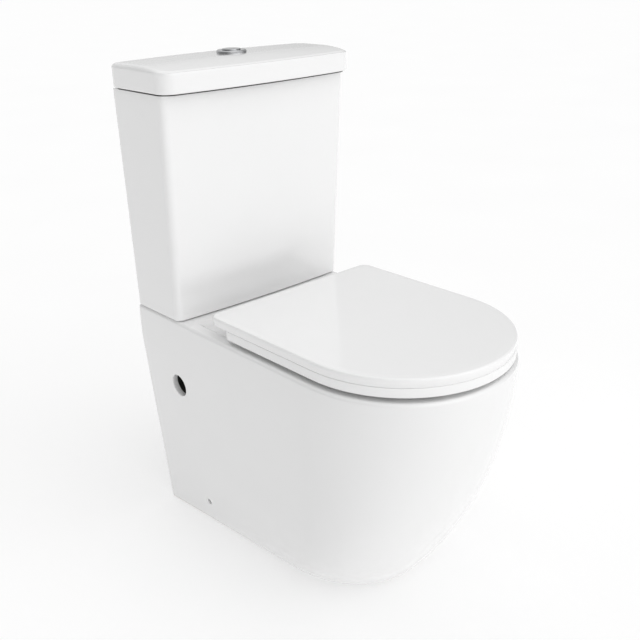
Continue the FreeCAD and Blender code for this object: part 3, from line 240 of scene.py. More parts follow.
def add_box(bm: Mesh, low: Vector, high: Vector, edge: float) -> None:
    """Adds a box with rounded edges to a mesh.

    Args:
        bm: the mesh.
        low: the box's lowest corner.
        high: its highest corner.
        edge: width of the rounds.
    """
    centre = (low + high) / 2
    size = high - low
    matrix = Matrix.Translation(centre) @ Matrix.Diagonal((*size, 1.0))
    made = bmesh.ops.create_cube(bm, size=1.0, matrix=matrix)
    edges = list({e for v in made["verts"] for e in v.link_edges})
    bmesh.ops.bevel(bm, geom=edges, offset=edge, segments=3, profile=0.5, affect="EDGES", material=-1)


def spun(profile: Sequence[Pair], centre: Vector, steps: int) -> Mesh:
    """Solid turned from a closed profile about an upright axis.

    Args:
        profile: (radius, height) corners, in order round the section.
        centre: point on the axis at height nought.
        steps: facets round the axis.

    Returns:
        The new mesh.
    """
    bm = bmesh.new()
    corners = [bm.verts.new((radius, 0.0, height)) for radius, height in profile]
    edges = [bm.edges.new(pair) for pair in zip(corners, [*corners[1:], corners[0]])]
    bmesh.ops.spin(bm, geom=[*corners, *edges], cent=(0, 0, 0), axis=(0, 0, 1), dvec=(0, 0, 0),
                   angle=2 * math.pi, steps=steps, use_merge=True, use_duplicate=False)
    bmesh.ops.translate(bm, vec=centre, verts=bm.verts)
    return bm


def rounded_profile(corners: Sequence[Pair], radius: float,
                    steps: int) -> list[Pair]:
    """Closed section whose corners are all rounded.

    Args:
        corners: (radius, height) corners in order.
        radius: size of the rounds.
        steps: points on each round, less one.

    Returns:
        The section with each corner replaced by a curve.
    """
    points = [Vector(corner) for corner in corners]
    section = []
    for before, corner, after in zip([points[-1], *points[:-1]], points, [*points[1:], points[0]]):
        reach = min(radius, (before - corner).length / 2.2, (after - corner).length / 2.2)
        start = corner + (before - corner).normalized() * reach
        end = corner + (after - corner).normalized() * reach
        for i in range(steps + 1):
            share = i / steps
            first, second = start.lerp(corner, share), corner.lerp(end, share)
            section.append(tuple(first.lerp(second, share)))
    return section


def in_place_order(elements: Any, place: Callable[[Any], tuple[float, ...]]) -> None:
    """Sorts a mesh's vertices or faces by where they lie, so that every run gives the same mesh.

    Args:
        elements: the mesh's own sequence of them.
        place: gives the place of one.
    """
    ranks = {element: rank for rank, element in enumerate(sorted(elements, key=place))}
    elements.sort(key=ranks.get)


def finished(name: str, bm: Mesh, body: str, finish: "Finish", replaces: Sequence[str],
             inside: "Finish | None" = None) -> None:
    """Turns a mesh into a piece that rides on a body.

    Args:
        name: the piece's name.
        bm: its mesh, freed here.
        body: the CAD body that it rides on.
        finish: its surface.
        replaces: CAD nodes that it stands for.
        inside: surface of the faces whose material index is 1, the painted shade.
    """
    bmesh.ops.remove_doubles(bm, verts=bm.verts, dist=SAME_PLACE)
    bmesh.ops.recalc_face_normals(bm, faces=bm.faces)
    for face in bm.faces:
        face.smooth = True
    in_place_order(bm.verts, lambda vertex: vertex.co[:])
    in_place_order(bm.faces, lambda face: face.calc_center_median()[:])
    mesh = bpy.data.meshes.new(name)
    bm.to_mesh(mesh)
    bm.free()
    mesh.set_sharp_from_angle(angle=SHARP_ANGLE)
    piece = bpy.data.objects.new(name, mesh)
    bpy.context.scene.collection.objects.link(piece)
    mesh.materials.append(finish.material())
    if inside is not None:
        mesh.materials.append(inside.material())
    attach(piece, body)
    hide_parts(*replaces)
    LOG.info("%s: %d faces on body %s", name, len(mesh.polygons), body)


# ---------------------------------------------------------------- shader maths
class Wire:
    """A socket whose sums and products add their own Math nodes."""

    def __init__(self, graph: "Graph", socket: bpy.types.NodeSocket) -> None:
        """Wraps an output socket of a graph."""
        self.graph = graph
        self.socket = socket

    def math(self, operation: str, *values: "Wire | float") -> "Wire":
        """Result of a Math node whose first value is this wire."""
        inputs = dict(enumerate([self, *values]))
        return self.graph.node("ShaderNodeMath", {"operation": operation}, inputs)

    def __add__(self, other: "Wire | float") -> "Wire":
        """Sum."""
        return self.math("ADD", other)

    __radd__ = __add__

    def __mul__(self, other: "Wire | float") -> "Wire":
        """Product."""
        return self.math("MULTIPLY", other)

    __rmul__ = __mul__

    def __sub__(self, other: "Wire | float") -> "Wire":
        """Difference."""
        return self.math("SUBTRACT", other)

    def __rsub__(self, other: float) -> "Wire":
        """Difference from a number."""
        return self.math("MULTIPLY", -1.0) + other


class Graph:
    """A node tree being built."""

    def __init__(self, tree: bpy.types.NodeTree) -> None:
        """Starts with an empty tree."""
        self.tree = tree
        tree.nodes.clear()

    def join(self, socket: bpy.types.NodeSocket, value: Any) -> None:
        """Links a wire to a socket, or sets the socket's own value.

        Args:
            socket: an input socket.
            value: a wire, or a value of the socket's own kind.
        """
        if isinstance(value, Wire):
            self.tree.links.new(value.socket, socket)
        else:
            socket.default_value = value

    def node(self, kind: str, settings: dict[str, Any], inputs: dict[Any, Any], output: Any = 0) -> Wire:
        """Adds a node.

        Args:
            kind: the node's type.
            settings: its own settings, set first.
            inputs: values or wires by socket name or number.
            output: which output to return.

        Returns:
            The chosen output.
        """
        made = self.tree.nodes.new(kind)
        for name, value in settings.items():
            setattr(made, name, value)
        for name, value in inputs.items():
            self.join(made.inputs[name], value)
        return Wire(self, made.outputs[output])


class Surface(Graph):
    """The tree of one material, with its Principled shader."""

    def __init__(self, name: str) -> None:
        """Starts a material.

        Args:
            name: the material's name.
        """
        self.material = bpy.data.materials.new(name)
        self.material.use_nodes = True
        super().__init__(self.material.node_tree)
        self.shader = self.tree.nodes.new("ShaderNodeBsdfPrincipled")
        output = self.tree.nodes.new("ShaderNodeOutputMaterial")
        self.tree.links.new(self.shader.outputs[0], output.inputs["Surface"])

    def place(self) -> Wire:
        """Object coordinates."""
        return self.node("ShaderNodeTexCoord", {}, {}, "Object")

    def along(self, axis: str) -> Wire:
        """Object coordinate along one axis."""
        return self.node("ShaderNodeSeparateXYZ", {}, {0: self.place()}, axis)

    def noise(self, size: float, detail: float, stretch: Triple = (1, 1, 1)) -> Wire:
        """Noise from 0 to 1.

        Args:
            size: width of its lumps, in metres.
            detail: octaves.
            stretch: scale along each axis.

        Returns:
            The noise's factor.
        """
        spot = self.node("ShaderNodeMapping", {}, {"Vector": self.place(), "Scale": stretch})
        inputs = {"Vector": spot, "Scale": 1 / size, "Detail": detail}
        return self.node("ShaderNodeTexNoise", {}, inputs, "Fac")

    def mix(self, share: Wire, low: Wire | tuple[float, ...], high: Wire | tuple[float, ...]) -> Wire:
        """Colour part of the way between two others.

        Args:
            share: 0 for the first colour, 1 for the second.
            low: the first colour.
            high: the second colour.

        Returns:
            The mixed colour.
        """
        first, second = (colour if isinstance(colour, Wire) else (*colour, 1.0) for colour in (low, high))
        return self.node("ShaderNodeMix", {"data_type": "RGBA"}, {0: share, 6: first, 7: second}, 2)

    def bump(self, height: Wire, depth: float, normal: Wire | None = None) -> Wire:
        """Normal of a height map.

        Args:
            height: heights from 0 to 1.
            depth: the full height, in metres.
            normal: the normal under it, if it lies on other relief.

        Returns:
            The new normal.
        """
        inputs: dict[Any, Any] = {"Height": height, "Distance": depth, "Strength": 1.0}
        if normal is not None:
            inputs["Normal"] = normal
        return self.node("ShaderNodeBump", {}, inputs)

    def feed(self, **inputs: Any) -> None:
        """Sets or links sockets of the shader; an underscore in a name is a space."""
        for name, value in inputs.items():
            self.join(self.shader.inputs[name.replace("_", " ")], value)


# ---------------------------------------------------------------- finishes
class Slot(Enum):
    """Material slots of the record."""

    GLAZE = "glazed_ceramic"
    SEAT = "seat_plastic"
    CHROME = "chrome"
    MOULDED = "white_plastic"
    DAMPER = "damper_plastic"
    RUBBER = "rubber"
    PAD = "pad_rubber"
    STEEL = "steel"


@dataclass(frozen=True)
class Finish:
    """A surface: its colour, gloss and relief, whose waves and fine grain have a size and a depth."""

    slot: Slot
    colour: Triple
    shade: Triple
    roughness: Pair
    tone_size: float
    metallic: float = 0.0
    coat: float = 0.0
    coat_roughness: float = 0.03
    grain: Triple = (1.0, 1.0, 1.0)
    wave: Pair = (60 * MM, 0.0)
    fine: Pair = (1 * MM, 0.0)
    label: str = ""

    def material(self) -> bpy.types.Material:
        """The finish's material, made once."""
        name = f"{self.label or self.slot.value}_finish"
        return bpy.data.materials.get(name) or self.build(Surface(name)).material

    def build(self, graph: Surface) -> Surface:
        """Builds the nodes.

        Args:
            graph: an empty graph.

        Returns:
            The same graph, dressed.
        """
        tone = graph.noise(self.tone_size, 4.0, self.grain)
        low, high = self.roughness
        graph.feed(Base_Color=graph.mix(tone, self.shade, self.colour), Metallic=self.metallic,
                   Roughness=tone * (high - low) + low, Coat_Weight=self.coat,
                   Coat_Roughness=self.coat_roughness, IOR=1.5)
        normal = None
        for (size, depth), detail, stretch in ((self.wave, 1.0, (1, 1, 1)), (self.fine, 3.0, self.grain)):
            if depth:
                normal = graph.bump(graph.noise(size, detail, stretch), depth, normal)
        if normal is not None:
            graph.feed(Normal=normal)
        return graph


@dataclass(frozen=True)
class Glaze(Finish):
    """White vitreous glaze over clay, wiped off where the casting stands on the floor."""

    clay: Triple = (0.62, 0.57, 0.49)
    clay_roughness: float = 0.75
    bare_height: float = 1.2 * MM
    ragged_size: float = 9 * MM
    edge_softness: float = 0.3

    def build(self, graph: Surface) -> Surface:
        """Builds the glaze and the bare foot under it.

        Args:
            graph: an empty graph.

        Returns:
            The same graph, dressed.
        """
        super().build(graph)
        ragged = graph.along("Z") - (graph.noise(self.ragged_size, 2.0) - 0.5) * self.bare_height
        limits = {"From Min": self.bare_height * (1 - self.edge_softness),
                  "From Max": self.bare_height * (1 + self.edge_softness)}
        glazed = graph.node("ShaderNodeMapRange", {"interpolation_type": "SMOOTHSTEP"},
                            {"Value": ragged, **limits})
        colour = Wire(graph, graph.shader.inputs["Base Color"].links[0].from_socket)
        roughness = Wire(graph, graph.shader.inputs["Roughness"].links[0].from_socket)
        graph.feed(Base_Color=graph.mix(glazed, self.clay, colour), Coat_Weight=glazed * self.coat,
                   Roughness=glazed * roughness + (1 - glazed) * self.clay_roughness)
        return graph


GLAZE = Glaze(Slot.GLAZE, (0.865, 0.865, 0.865), (0.85, 0.85, 0.85), (0.16, 0.24), 90 * MM, coat=1.0,
              coat_roughness=0.04, wave=(70 * MM, 0.10 * MM))
# Painted shade: a near-black finish for faces inside the casting and in the lid's rebate, standing in for the
# shade in those hollows.
PAINTED_SHADE = Finish(Slot.GLAZE, (0.085, 0.083, 0.08), (0.06, 0.059, 0.057), (0.7, 0.85), 60 * MM,
                fine=(1.5 * MM, 0.05 * MM), label="painted_shade_inside")
SEAT_FINISH = Finish(Slot.SEAT, (0.89, 0.89, 0.89), (0.88, 0.88, 0.88), (0.10, 0.16), 120 * MM, coat=0.6,
                     wave=(110 * MM, 0.04 * MM), fine=(1.4 * MM, 0.002 * MM))
CHROME = Finish(Slot.CHROME, (0.50, 0.505, 0.515), (0.42, 0.425, 0.435), (0.04, 0.10), 8 * MM, metallic=1.0,
                fine=(0.6 * MM, 0.001 * MM))
MOULDED = Finish(Slot.MOULDED, (0.80, 0.80, 0.78), (0.74, 0.74, 0.72), (0.38, 0.52), 25 * MM,
                 fine=(0.5 * MM, 0.012 * MM))
DAMPER = Finish(Slot.DAMPER, (0.23, 0.24, 0.26), (0.19, 0.20, 0.21), (0.35, 0.5), 12 * MM,
                fine=(0.5 * MM, 0.01 * MM))
RUBBER = Finish(Slot.RUBBER, (0.035, 0.035, 0.036), (0.022, 0.022, 0.022), (0.6, 0.8), 10 * MM,
                fine=(0.4 * MM, 0.02 * MM))
PAD = Finish(Slot.PAD, (0.62, 0.62, 0.60), (0.55, 0.55, 0.53), (0.4, 0.6), 8 * MM,
             fine=(0.4 * MM, 0.015 * MM))
STEEL = Finish(Slot.STEEL, (0.60, 0.60, 0.61), (0.46, 0.46, 0.48), (0.24, 0.42), 3 * MM, metallic=1.0,
               grain=(1.0, 1.0, 14.0), fine=(0.7 * MM, 0.01 * MM))
SLOT_FINISHES = (GLAZE, SEAT_FINISH, CHROME, MOULDED, DAMPER, RUBBER, PAD, STEEL)
FINISHES = {finish.slot.value: finish for finish in SLOT_FINISHES}


# ---------------------------------------------------------------- pan
@dataclass
class Pan:
    """The pan: one glazed casting from the skirt's foot over the rim and through the bowl to the outlet."""

    wall: float = 11 * MM
    deck: float = 17 * MM
    rim_edge: float = 6 * MM
    foot_edge: float = 2 * MM
    corner: float = 3 * MM
    rear_widths: Pair = (149.5 * MM, 179.5 * MM)
    rear_taper: float = 355 * MM
    front_width_foot: float = 109 * MM
    foot_depth: float = 474 * MM
    side_lengths: Pair = (311 * MM, 440 * MM)
    front_powers: Pair = (1.67, 1.18)
    side_powers: Pair = (4.8, 1.3)
    roundness: float = 2.13
    bowl_roundness: float = 2.2
    bowl_wall: float = 10 * MM
    mouth_edge: float = 5 * MM
    mouth_centre: float = 428 * MM
    trap_bore: float = 38 * MM
    trap_wall: float = 9 * MM
    spigot: Pair = (51 * MM, 55 * MM)
    flange: Pair = (66 * MM, 10 * MM)
    tray: Triple = (160 * MM, 151 * MM, 260 * MM)
    tray_depth: float = 7 * MM
    tray_edge: float = 12 * MM
    access_hole: Triple = (101 * MM, 286 * MM, 20 * MM)
    fixing_hole: Triple = (132 * MM, 51 * MM, 5.5 * MM)
    hole_lip: float = 1.6 * MM
    side_columns: int = 52
    nose_columns: int = 36
    corner_columns: int = 3
    back_columns: int = 20
    skirt_rings: int = 58
    deck_rings: int = 64
    bowl_levels: tuple[tuple[float, float, float, float], ...] = (
        (412, 132, 268, 588), (370, 130, 272, 585), (318, 117, 296, 570),
        (262, 93, 322, 534), (208, 66, 346, 490), (162, 48, 352, 452))
    trap_route: tuple[Pair, ...] = (
        (372, 157), (330, 114), (222, 290), (160, 180), (55, 180))
    trap_bends: Triple = (56, 54, 50)
    directions: list[Pair] = field(default_factory=list)

    def __post_init__(self) -> None:
        """Takes the overall sizes from the frame."""
        low, high = node_box("pan")
        self.height = high.z
        self.depth = high.y - low.y
        self.front_width = (high.x - low.x) / 2
        self.directions = directions_from(self.plan(self.height, self.rim_edge), from_wall(self.mouth_centre))

    @staticmethod
    def eased(share: float, powers: Pair) -> float:
        """Rise from 0 to 1 that is quick at first and levels out at the top."""
        return (1 - (1 - share) ** powers[0]) ** (1 / powers[1])

    def sizes(self, height: float) -> tuple[float, float, float, float]:
        """The skirt's size at a height.

        Args:
            height: height above the floor.

        Returns:
            Rear and front half width, side length and depth.
        """
        share = min(max(height / self.height, 0.0), 1.0)
        side = self.eased(share, self.side_powers)
        rear = blend(*self.rear_widths, min(max(height / self.rear_taper, 0.0), 1.0))
        front = blend(self.front_width_foot, self.front_width, side)
        depth = blend(self.foot_depth, self.depth, self.eased(share, self.front_powers))
        return rear, front, blend(*self.side_lengths, side), depth

    def plan(self, height: float, inset: float = 0.0, inner: bool = False) -> Plan:
        """Closed plan of the skirt, from the nose round to the back and on.

        Args:
            height: level that sets the skirt's size and the plan's place.
            inset: distance inwards from the skirt's outside.
            inner: True for the inside of the wall, which runs square to the plane of the wall.

        Returns:
            The plan's points.
        """
        rear, front, side_length, depth = self.sizes(height)

        def width(wall: float) -> float:
            """Half width at a distance from the wall, before the nose narrows."""
            return blend(rear, front, wall / depth) - inset

        half = []
        power = 2 / self.roundness
        reach = depth - inset - side_length
        for i in range(self.nose_columns):
            angle = math.pi / 2 * (1 - i / self.nose_columns)
            wall = side_length + reach * math.sin(angle) ** power
            half.append((width(wall) * math.cos(angle) ** power, wall))
        corner = 0.0 if inner else self.corner
        for i in range(self.side_columns + 1):
            wall = blend(side_length, corner, i / self.side_columns)
            half.append((width(wall), wall))
        for i in range(1, self.corner_columns + 1):
            turn = math.pi / 2 * i / self.corner_columns
            half.append((width(0.0) - corner * (1 - math.cos(turn)), corner * (1 - math.sin(turn))))
        inside = width(0.0) if inner else width(0.0) - self.wall + min(inset, self.wall)
        for i in range(self.back_columns + 1):
            half.append((inside * (1 - i / self.back_columns), 0.0))
        return mirrored(half, height)

    def skirt_levels(self) -> list[float]:
        """Heights of the skirt's rings, closer together near the foot."""
        top = self.height - self.deck
        return [top * (i / self.skirt_rings) ** 1.2 for i in range(self.skirt_rings + 1)]

    def tray_drop(self, point: Vector) -> float:
        """How far the deck lies below the rim, in the tray behind the bowl.

        Args:
            point: a point of the deck.

        Returns:
            The drop there.
        """
        half_width, rear, front = self.tray
        wall = WALL_Y - point.y
        sides = smooth_step(0.0, self.tray_edge, half_width - abs(point.x))
        ends = smooth_step(0.0, self.tray_edge, wall - rear) * smooth_step(0.0, self.tray_edge, front - wall)
        return self.tray_depth * (sides * ends)

    def section(self, centre: Vector, across: float, along: float, tangent: Vector, roundness: float) -> Plan:
        """Oval ring round a point of the waterway.

        Args:
            centre: its middle.
            across: half width along X.
            along: half length in the middle plane.
            tangent: the way the water runs.
            roundness: 2 for an ellipse.

        Returns:
            The ring's points, one for each column.
        """
        normal = Vector((0, -tangent.z, tangent.y))
        ring = []
        for direction in self.directions:
            reach = oval_reach(direction, across, along, roundness)
            ring.append(centre + Vector((direction[0] * reach, 0, 0)) + normal * (direction[1] * reach))
        return ring

    def bowl_ring(self, height: float, growth: float) -> Plan:
        """Level ring of the bowl.

        Args:
            height: its height.
            growth: distance outwards from the glaze inside.

        Returns:
            The ring's points.
        """
        levels = [tuple(value * MM for value in level) for level in self.bowl_levels]
        index = next((i for i in range(len(levels) - 2) if height >= levels[i + 1][0]), len(levels) - 2)
        upper, lower = levels[index], levels[index + 1]
        share = (upper[0] - height) / (upper[0] - lower[0])
        sizes = []
        for k in range(1, 4):
            before = levels[max(index - 1, 0)][k]
            after = levels[min(index + 2, len(levels) - 1)][k]
            low_slope, high_slope = (lower[k] - before) / 2, (after - upper[k]) / 2
            if index == 0:
                low_slope = 0.0
            bend = share * (1 - share) * ((1 - share) * low_slope - share * high_slope)
            sizes.append(blend(upper[k], lower[k], share * share * (3 - 2 * share)) + bend)
        half_width, rear, front = sizes
        return self.section(wall_point(0, (rear + front) / 2, height), half_width + growth,
                            (front - rear) / 2 + growth, Vector((0, 0, -1)), self.bowl_roundness)

    def trap_points(self, spacing: float) -> list[tuple[Vector, Vector]]:
        """Points along the trap's centre line.

        Args:
            spacing: distance between them.

        Returns:
            Each point with the way the water runs there.
        """
        corners = [wall_point(0, wall * MM, height * MM) for wall, height in self.trap_route]
        found: list[tuple[Vector, Vector]] = []
        start = corners[0]
        for before, corner, after, radius in zip(corners, corners[1:], corners[2:], self.trap_bends):
            inward, outward = (before - corner).normalized(), (after - corner).normalized()
            half_turn = (math.pi - inward.angle(outward)) / 2
            reach = radius * MM * math.tan(half_turn)
            first, last = corner + inward * reach, corner + outward * reach
            steps = max(1, round((first - start).length / spacing))
            found += [(start.lerp(first, i / steps), -inward) for i in range(steps)]
            centre = corner + (inward + outward).normalized() * (radius * MM / math.cos(half_turn))
            steps = max(3, round(2 * half_turn * radius * MM / spacing))
            for i in range(steps):
                turn = i / steps
                spoke = (first - centre).slerp(last - centre, turn).normalized()
                found.append((centre + spoke * radius * MM, (-inward).slerp(outward, turn)))
            start = last
        steps = max(1, round((corners[-1] - start).length / spacing))
        heading = (corners[-1] - start).normalized()
        found += [(start.lerp(corners[-1], i / steps), heading) for i in range(steps + 1)]
        return found

    def waterway(self) -> list[Plan]:
        """Runs down the bowl, through the trap and back along the outside to the deck.

        Returns:
            The plans of the rings on the way.
        """
        rings = []
        top = self.height - self.mouth_edge
        floor = self.bowl_levels[-1][0] * MM
        rings += [self.bowl_ring(blend(top, floor, i / 30), 0.0) for i in range(31)]
        route = self.trap_points(9 * MM)
        for centre, tangent in route:
            rings.append(self.section(centre, self.trap_bore, self.trap_bore, tangent, 2.0))
        end, heading = route[-1]
        outer, length = self.spigot
        for radius, back in ((self.trap_bore, 0.0), (outer - 2 * MM, 0.0), (outer, 2 * MM), (outer, length)):
            rings.append(self.section(end - heading * back, radius, radius, heading, 2.0))
        pipe = self.trap_bore + self.trap_wall
        for centre, tangent in reversed(route):
            if (centre - end).length > length:
                rings.append(self.section(centre, pipe, pipe, tangent, 2.0))
        under = self.height - self.deck
        rings += [self.bowl_ring(blend(floor, under, i / 14), self.bowl_wall) for i in range(15)]
        return rings

    def opening(self, skin: RingSkin, hole: Triple, side: int, reach: int,
                outer: list[Ring], inner: list[Ring]) -> None:
        """Cuts a round hole through the skirt's wall and rounds its lip.

        Args:
            skin: the pan's skin.
            hole: its distance from the wall, its height and its radius.
            side: 1 for +X or -1 for -X.
            reach: how many columns and rings it takes each way.
            outer: rings of the skirt's outside, from the foot up.
            inner: rings of its inside, from the foot up.
        """
        wall, height, radius = hole
        count = len(outer[0])
        level, column = self.cell_at(side, wall, height)
        steps = range(-reach, reach)
        path = [(level - reach, column + i) for i in steps] + [(level + i, column + reach) for i in steps]
        path += [(level + reach, column - i) for i in steps] + [(level - i, column - reach) for i in steps]
        loops = [[rings[k][c % count] for k, c in path] for rings in (outer, inner)]
        for rings in (outer, inner):
            block = {rings[k][c % count] for k in range(level - reach, level + reach + 1)
                     for c in range(column - reach, column + reach + 1)}
            faces = [face for face in skin.bm.faces if all(v in block for v in face.verts)]
            bmesh.ops.delete(skin.bm, geom=faces, context="FACES")
        rings = []
        outside, inside = ([vertex.co.copy() for vertex in loop] for loop in loops)
        for share, flare in ((0.0, 1.0), (0.02, 0.45), (0.07, 0.12), (0.15, 0.0), (0.5, 0.0),
                             (0.85, 0.0), (0.93, 0.12), (0.98, 0.45), (1.0, 1.0)):
            away = radius + flare * self.hole_lip
            plan = []
            for near in outside:
                turn = math.atan2(near.z - height, WALL_Y - near.y - wall)
                spot = (wall + away * math.cos(turn), height + away * math.sin(turn))
                depth = blend(self.side_x(*spot, 0.0), self.side_x(*spot, self.wall), share)
                plan.append(wall_point(side * depth, *spot))
            rings.append(plan)
        loop = loops[0]
        for plan in [between(outside, rings[0], 0.5), *rings, between(inside, rings[-1], 0.5), inside]:
            loop = skin.extruded(loop, plan)

    def cell_at(self, side: int, wall: float, height: float) -> tuple[int, int]:
        """Finds the skirt's point nearest to a spot on one side.

        Args:
            side: 1 for +X or -1 for -X.
            wall: the spot's distance from the wall.
            height: its height.

        Returns:
            The point's ring and column.
        """
        levels = self.skirt_levels()
        level = min(range(len(levels)), key=lambda k: abs(levels[k] - height))
        plan = self.plan(levels[level])
        columns = [c for c, point in enumerate(plan) if point.x * side > 10 * MM]
        return level, min(columns, key=lambda c: abs(WALL_Y - plan[c].y - wall))

    def side_x(self, wall: float, height: float, inset: float) -> float:
        """Half width of the straight part of the skirt at a distance from the wall and a height."""
        rear, front, _, depth = self.sizes(height)
        return blend(rear, front, wall / depth) - inset

    def drop_back(self, skin: RingSkin) -> None:
        """Takes away the faces across the open back of the skirt.

        Args:
            skin: the pan's skin.
        """
        slack = 0.05 * MM
        under = self.height - self.deck + slack
        gone = []
        for face in skin.bm.faces:
            spots = [vertex.co for vertex in face.verts]
            if all(WALL_Y - p.y < SAME_PLACE and p.z < under for p in spots):
                if all(abs(p.x) < self.side_x(0.0, p.z, self.wall) + slack for p in spots):
                    gone.append(face)
        bmesh.ops.delete(skin.bm, geom=gone, context="FACES")

    def add_flange(self, bm: Mesh, side: int) -> None:
        """Adds the return of the back edge, which runs inwards from one side from the floor to the deck.

        Args:
            bm: the pan's mesh.
            side: 1 for +X or -1 for -X.
        """
        inner, thickness = self.flange
        under = self.height - self.deck
        made = bmesh.ops.create_cube(bm, size=1.0)
        # Faces that don't lie wholly at positive Y get material 1, the painted shade.
        for face in {face for vertex in made["verts"] for face in vertex.link_faces}:
            face.material_index = int(not all(vertex.co.y > 0 for vertex in face.verts))
        for vertex in made["verts"]:
            outward, back, up = (share > 0 for share in vertex.co)
            z = under if up else 0.0
            x = self.side_x(0.0, z, self.wall / 2) if outward else inner
            vertex.co = Vector((side * x, from_wall(self.foot_edge if back else thickness), z))
        ends = [edge for edge in {e for v in made["verts"] for e in v.link_edges}
                if abs(edge.verts[0].co.z - edge.verts[1].co.z) > thickness]
        taper = bmesh.ops.subdivide_edges(bm, edges=ends, cuts=1)
        for vertex in (item for item in taper["geom_inner"] if isinstance(item, bmesh.types.BMVert)):
            if abs(vertex.co.x) > 2 * inner:
                vertex.co.x = side * self.side_x(0.0, self.rear_taper, self.wall / 2)
            vertex.co.z = self.rear_taper

    def build(self) -> Mesh:
        """Builds the whole casting as one closed skin.

        Returns:
            The skin's mesh.
        """
        levels = self.skirt_levels()
        low = 0.3 * self.foot_edge
        skin = RingSkin(self.plan(0.0, self.foot_edge))
        skin.grow([at_height(self.plan(0.0, low), low)])
        skin.grow(self.plan(level) for level in levels[1:])
        outer = [skin.rings[0], *skin.rings[2:]]
        edge_base = self.height - self.rim_edge
        skin.grow(self.plan(edge_base + rise, inset) for rise, inset in quarter_round(self.rim_edge, 6))
        rim = skin.copied(-1)
        mouth = self.bowl_ring(self.height, self.mouth_edge)
        for i in range(1, self.deck_rings + 1):
            plan = between(rim, mouth, i / self.deck_rings)
            skin.grow([[p - Vector((0, 0, self.tray_drop(p))) for p in plan]])
        for rise, inset in quarter_under(self.mouth_edge, 5):
            height = self.height - self.mouth_edge + rise
            skin.grow([at_height(self.bowl_ring(self.height, inset), height)])
        skin.grow(self.waterway()[1:])
        # From here to the inner skirt the faces get painted shade: a near-black finish for the shade inside
        # the casting, seen through its holes and open back.
        painted_shade_start = len(skin.rings) - 1
        skin.bridge(self.plan(levels[-1], self.wall, inner=True), 4)
        skin.grow(self.plan(level, self.wall, inner=True) for level in reversed(levels[1:-1]))
        inside = self.plan(0.0, self.wall, inner=True)
        skin.grow([at_height(inside, low), inside])
        inner = [skin.rings[-1], *reversed(skin.rings[-len(levels) - 1:-2])]
        skin.mark_painted_shade(painted_shade_start)
        skin.close()
        for side in (-1, 1):
            self.opening(skin, self.access_hole, side, 4, outer, inner)
            self.opening(skin, self.fixing_hole, side, 2, outer, inner)
        bmesh.ops.remove_doubles(skin.bm, verts=skin.bm.verts, dist=SAME_PLACE)
        self.drop_back(skin)
        for side in (-1, 1):
            self.add_flange(skin.bm, side)
        return skin.bm

    def dress(self) -> None:
        """Adds the casting to the scene."""
        finished("pan_casting", self.build(), "root", GLAZE, ["pan", "pan_bowl", "pan_trap"], PAINTED_SHADE)


# ---------------------------------------------------------------- covers and lids
def bowed_plan(level: float, half_width: float, rear: float, front: float, bow: float,
               corners: Pair) -> Plan:
    """Rounded rectangle whose front edge swells forwards.

    Args:
        level: its height.
        half_width: half its width.
        rear: distance of its back from the wall.
        front: distance of its front corners from the wall, before they are rounded.
        bow: how far the front's middle stands forward of them.
        corners: radii of the front and rear corners.

    Returns:
        The plan's points, from the front's middle round by +X.
    """
    front_round, rear_round = corners
    radius = (half_width ** 2 + bow ** 2) / (2 * bow)
    centre = front + bow - radius
    reach = math.sqrt((radius - front_round) ** 2 - (half_width - front_round) ** 2)
    corner = (half_width - front_round, centre + reach)
    sweep = math.atan2(corner[0], reach)
    turns = [sweep * i / 24 for i in range(24)]
    half = [(radius * math.sin(turn), centre + radius * math.cos(turn)) for turn in turns]
    for i in range(11):
        turn = blend(math.pi / 2 - sweep, 0.0, i / 10)
        half.append((corner[0] + front_round * math.cos(turn), corner[1] + front_round * math.sin(turn)))
    half += [(half_width, blend(corner[1], rear + rear_round, i / 12)) for i in range(1, 12)]
    for i in range(11):
        turn = -math.pi / 2 * i / 10
        half.append((half_width - rear_round * (1 - math.cos(turn)),
                     rear + rear_round * (1 + math.sin(turn))))
    half += [(blend(half_width - rear_round, 0.0, i / 20), rear) for i in range(1, 21)]
    return mirrored(half, level)


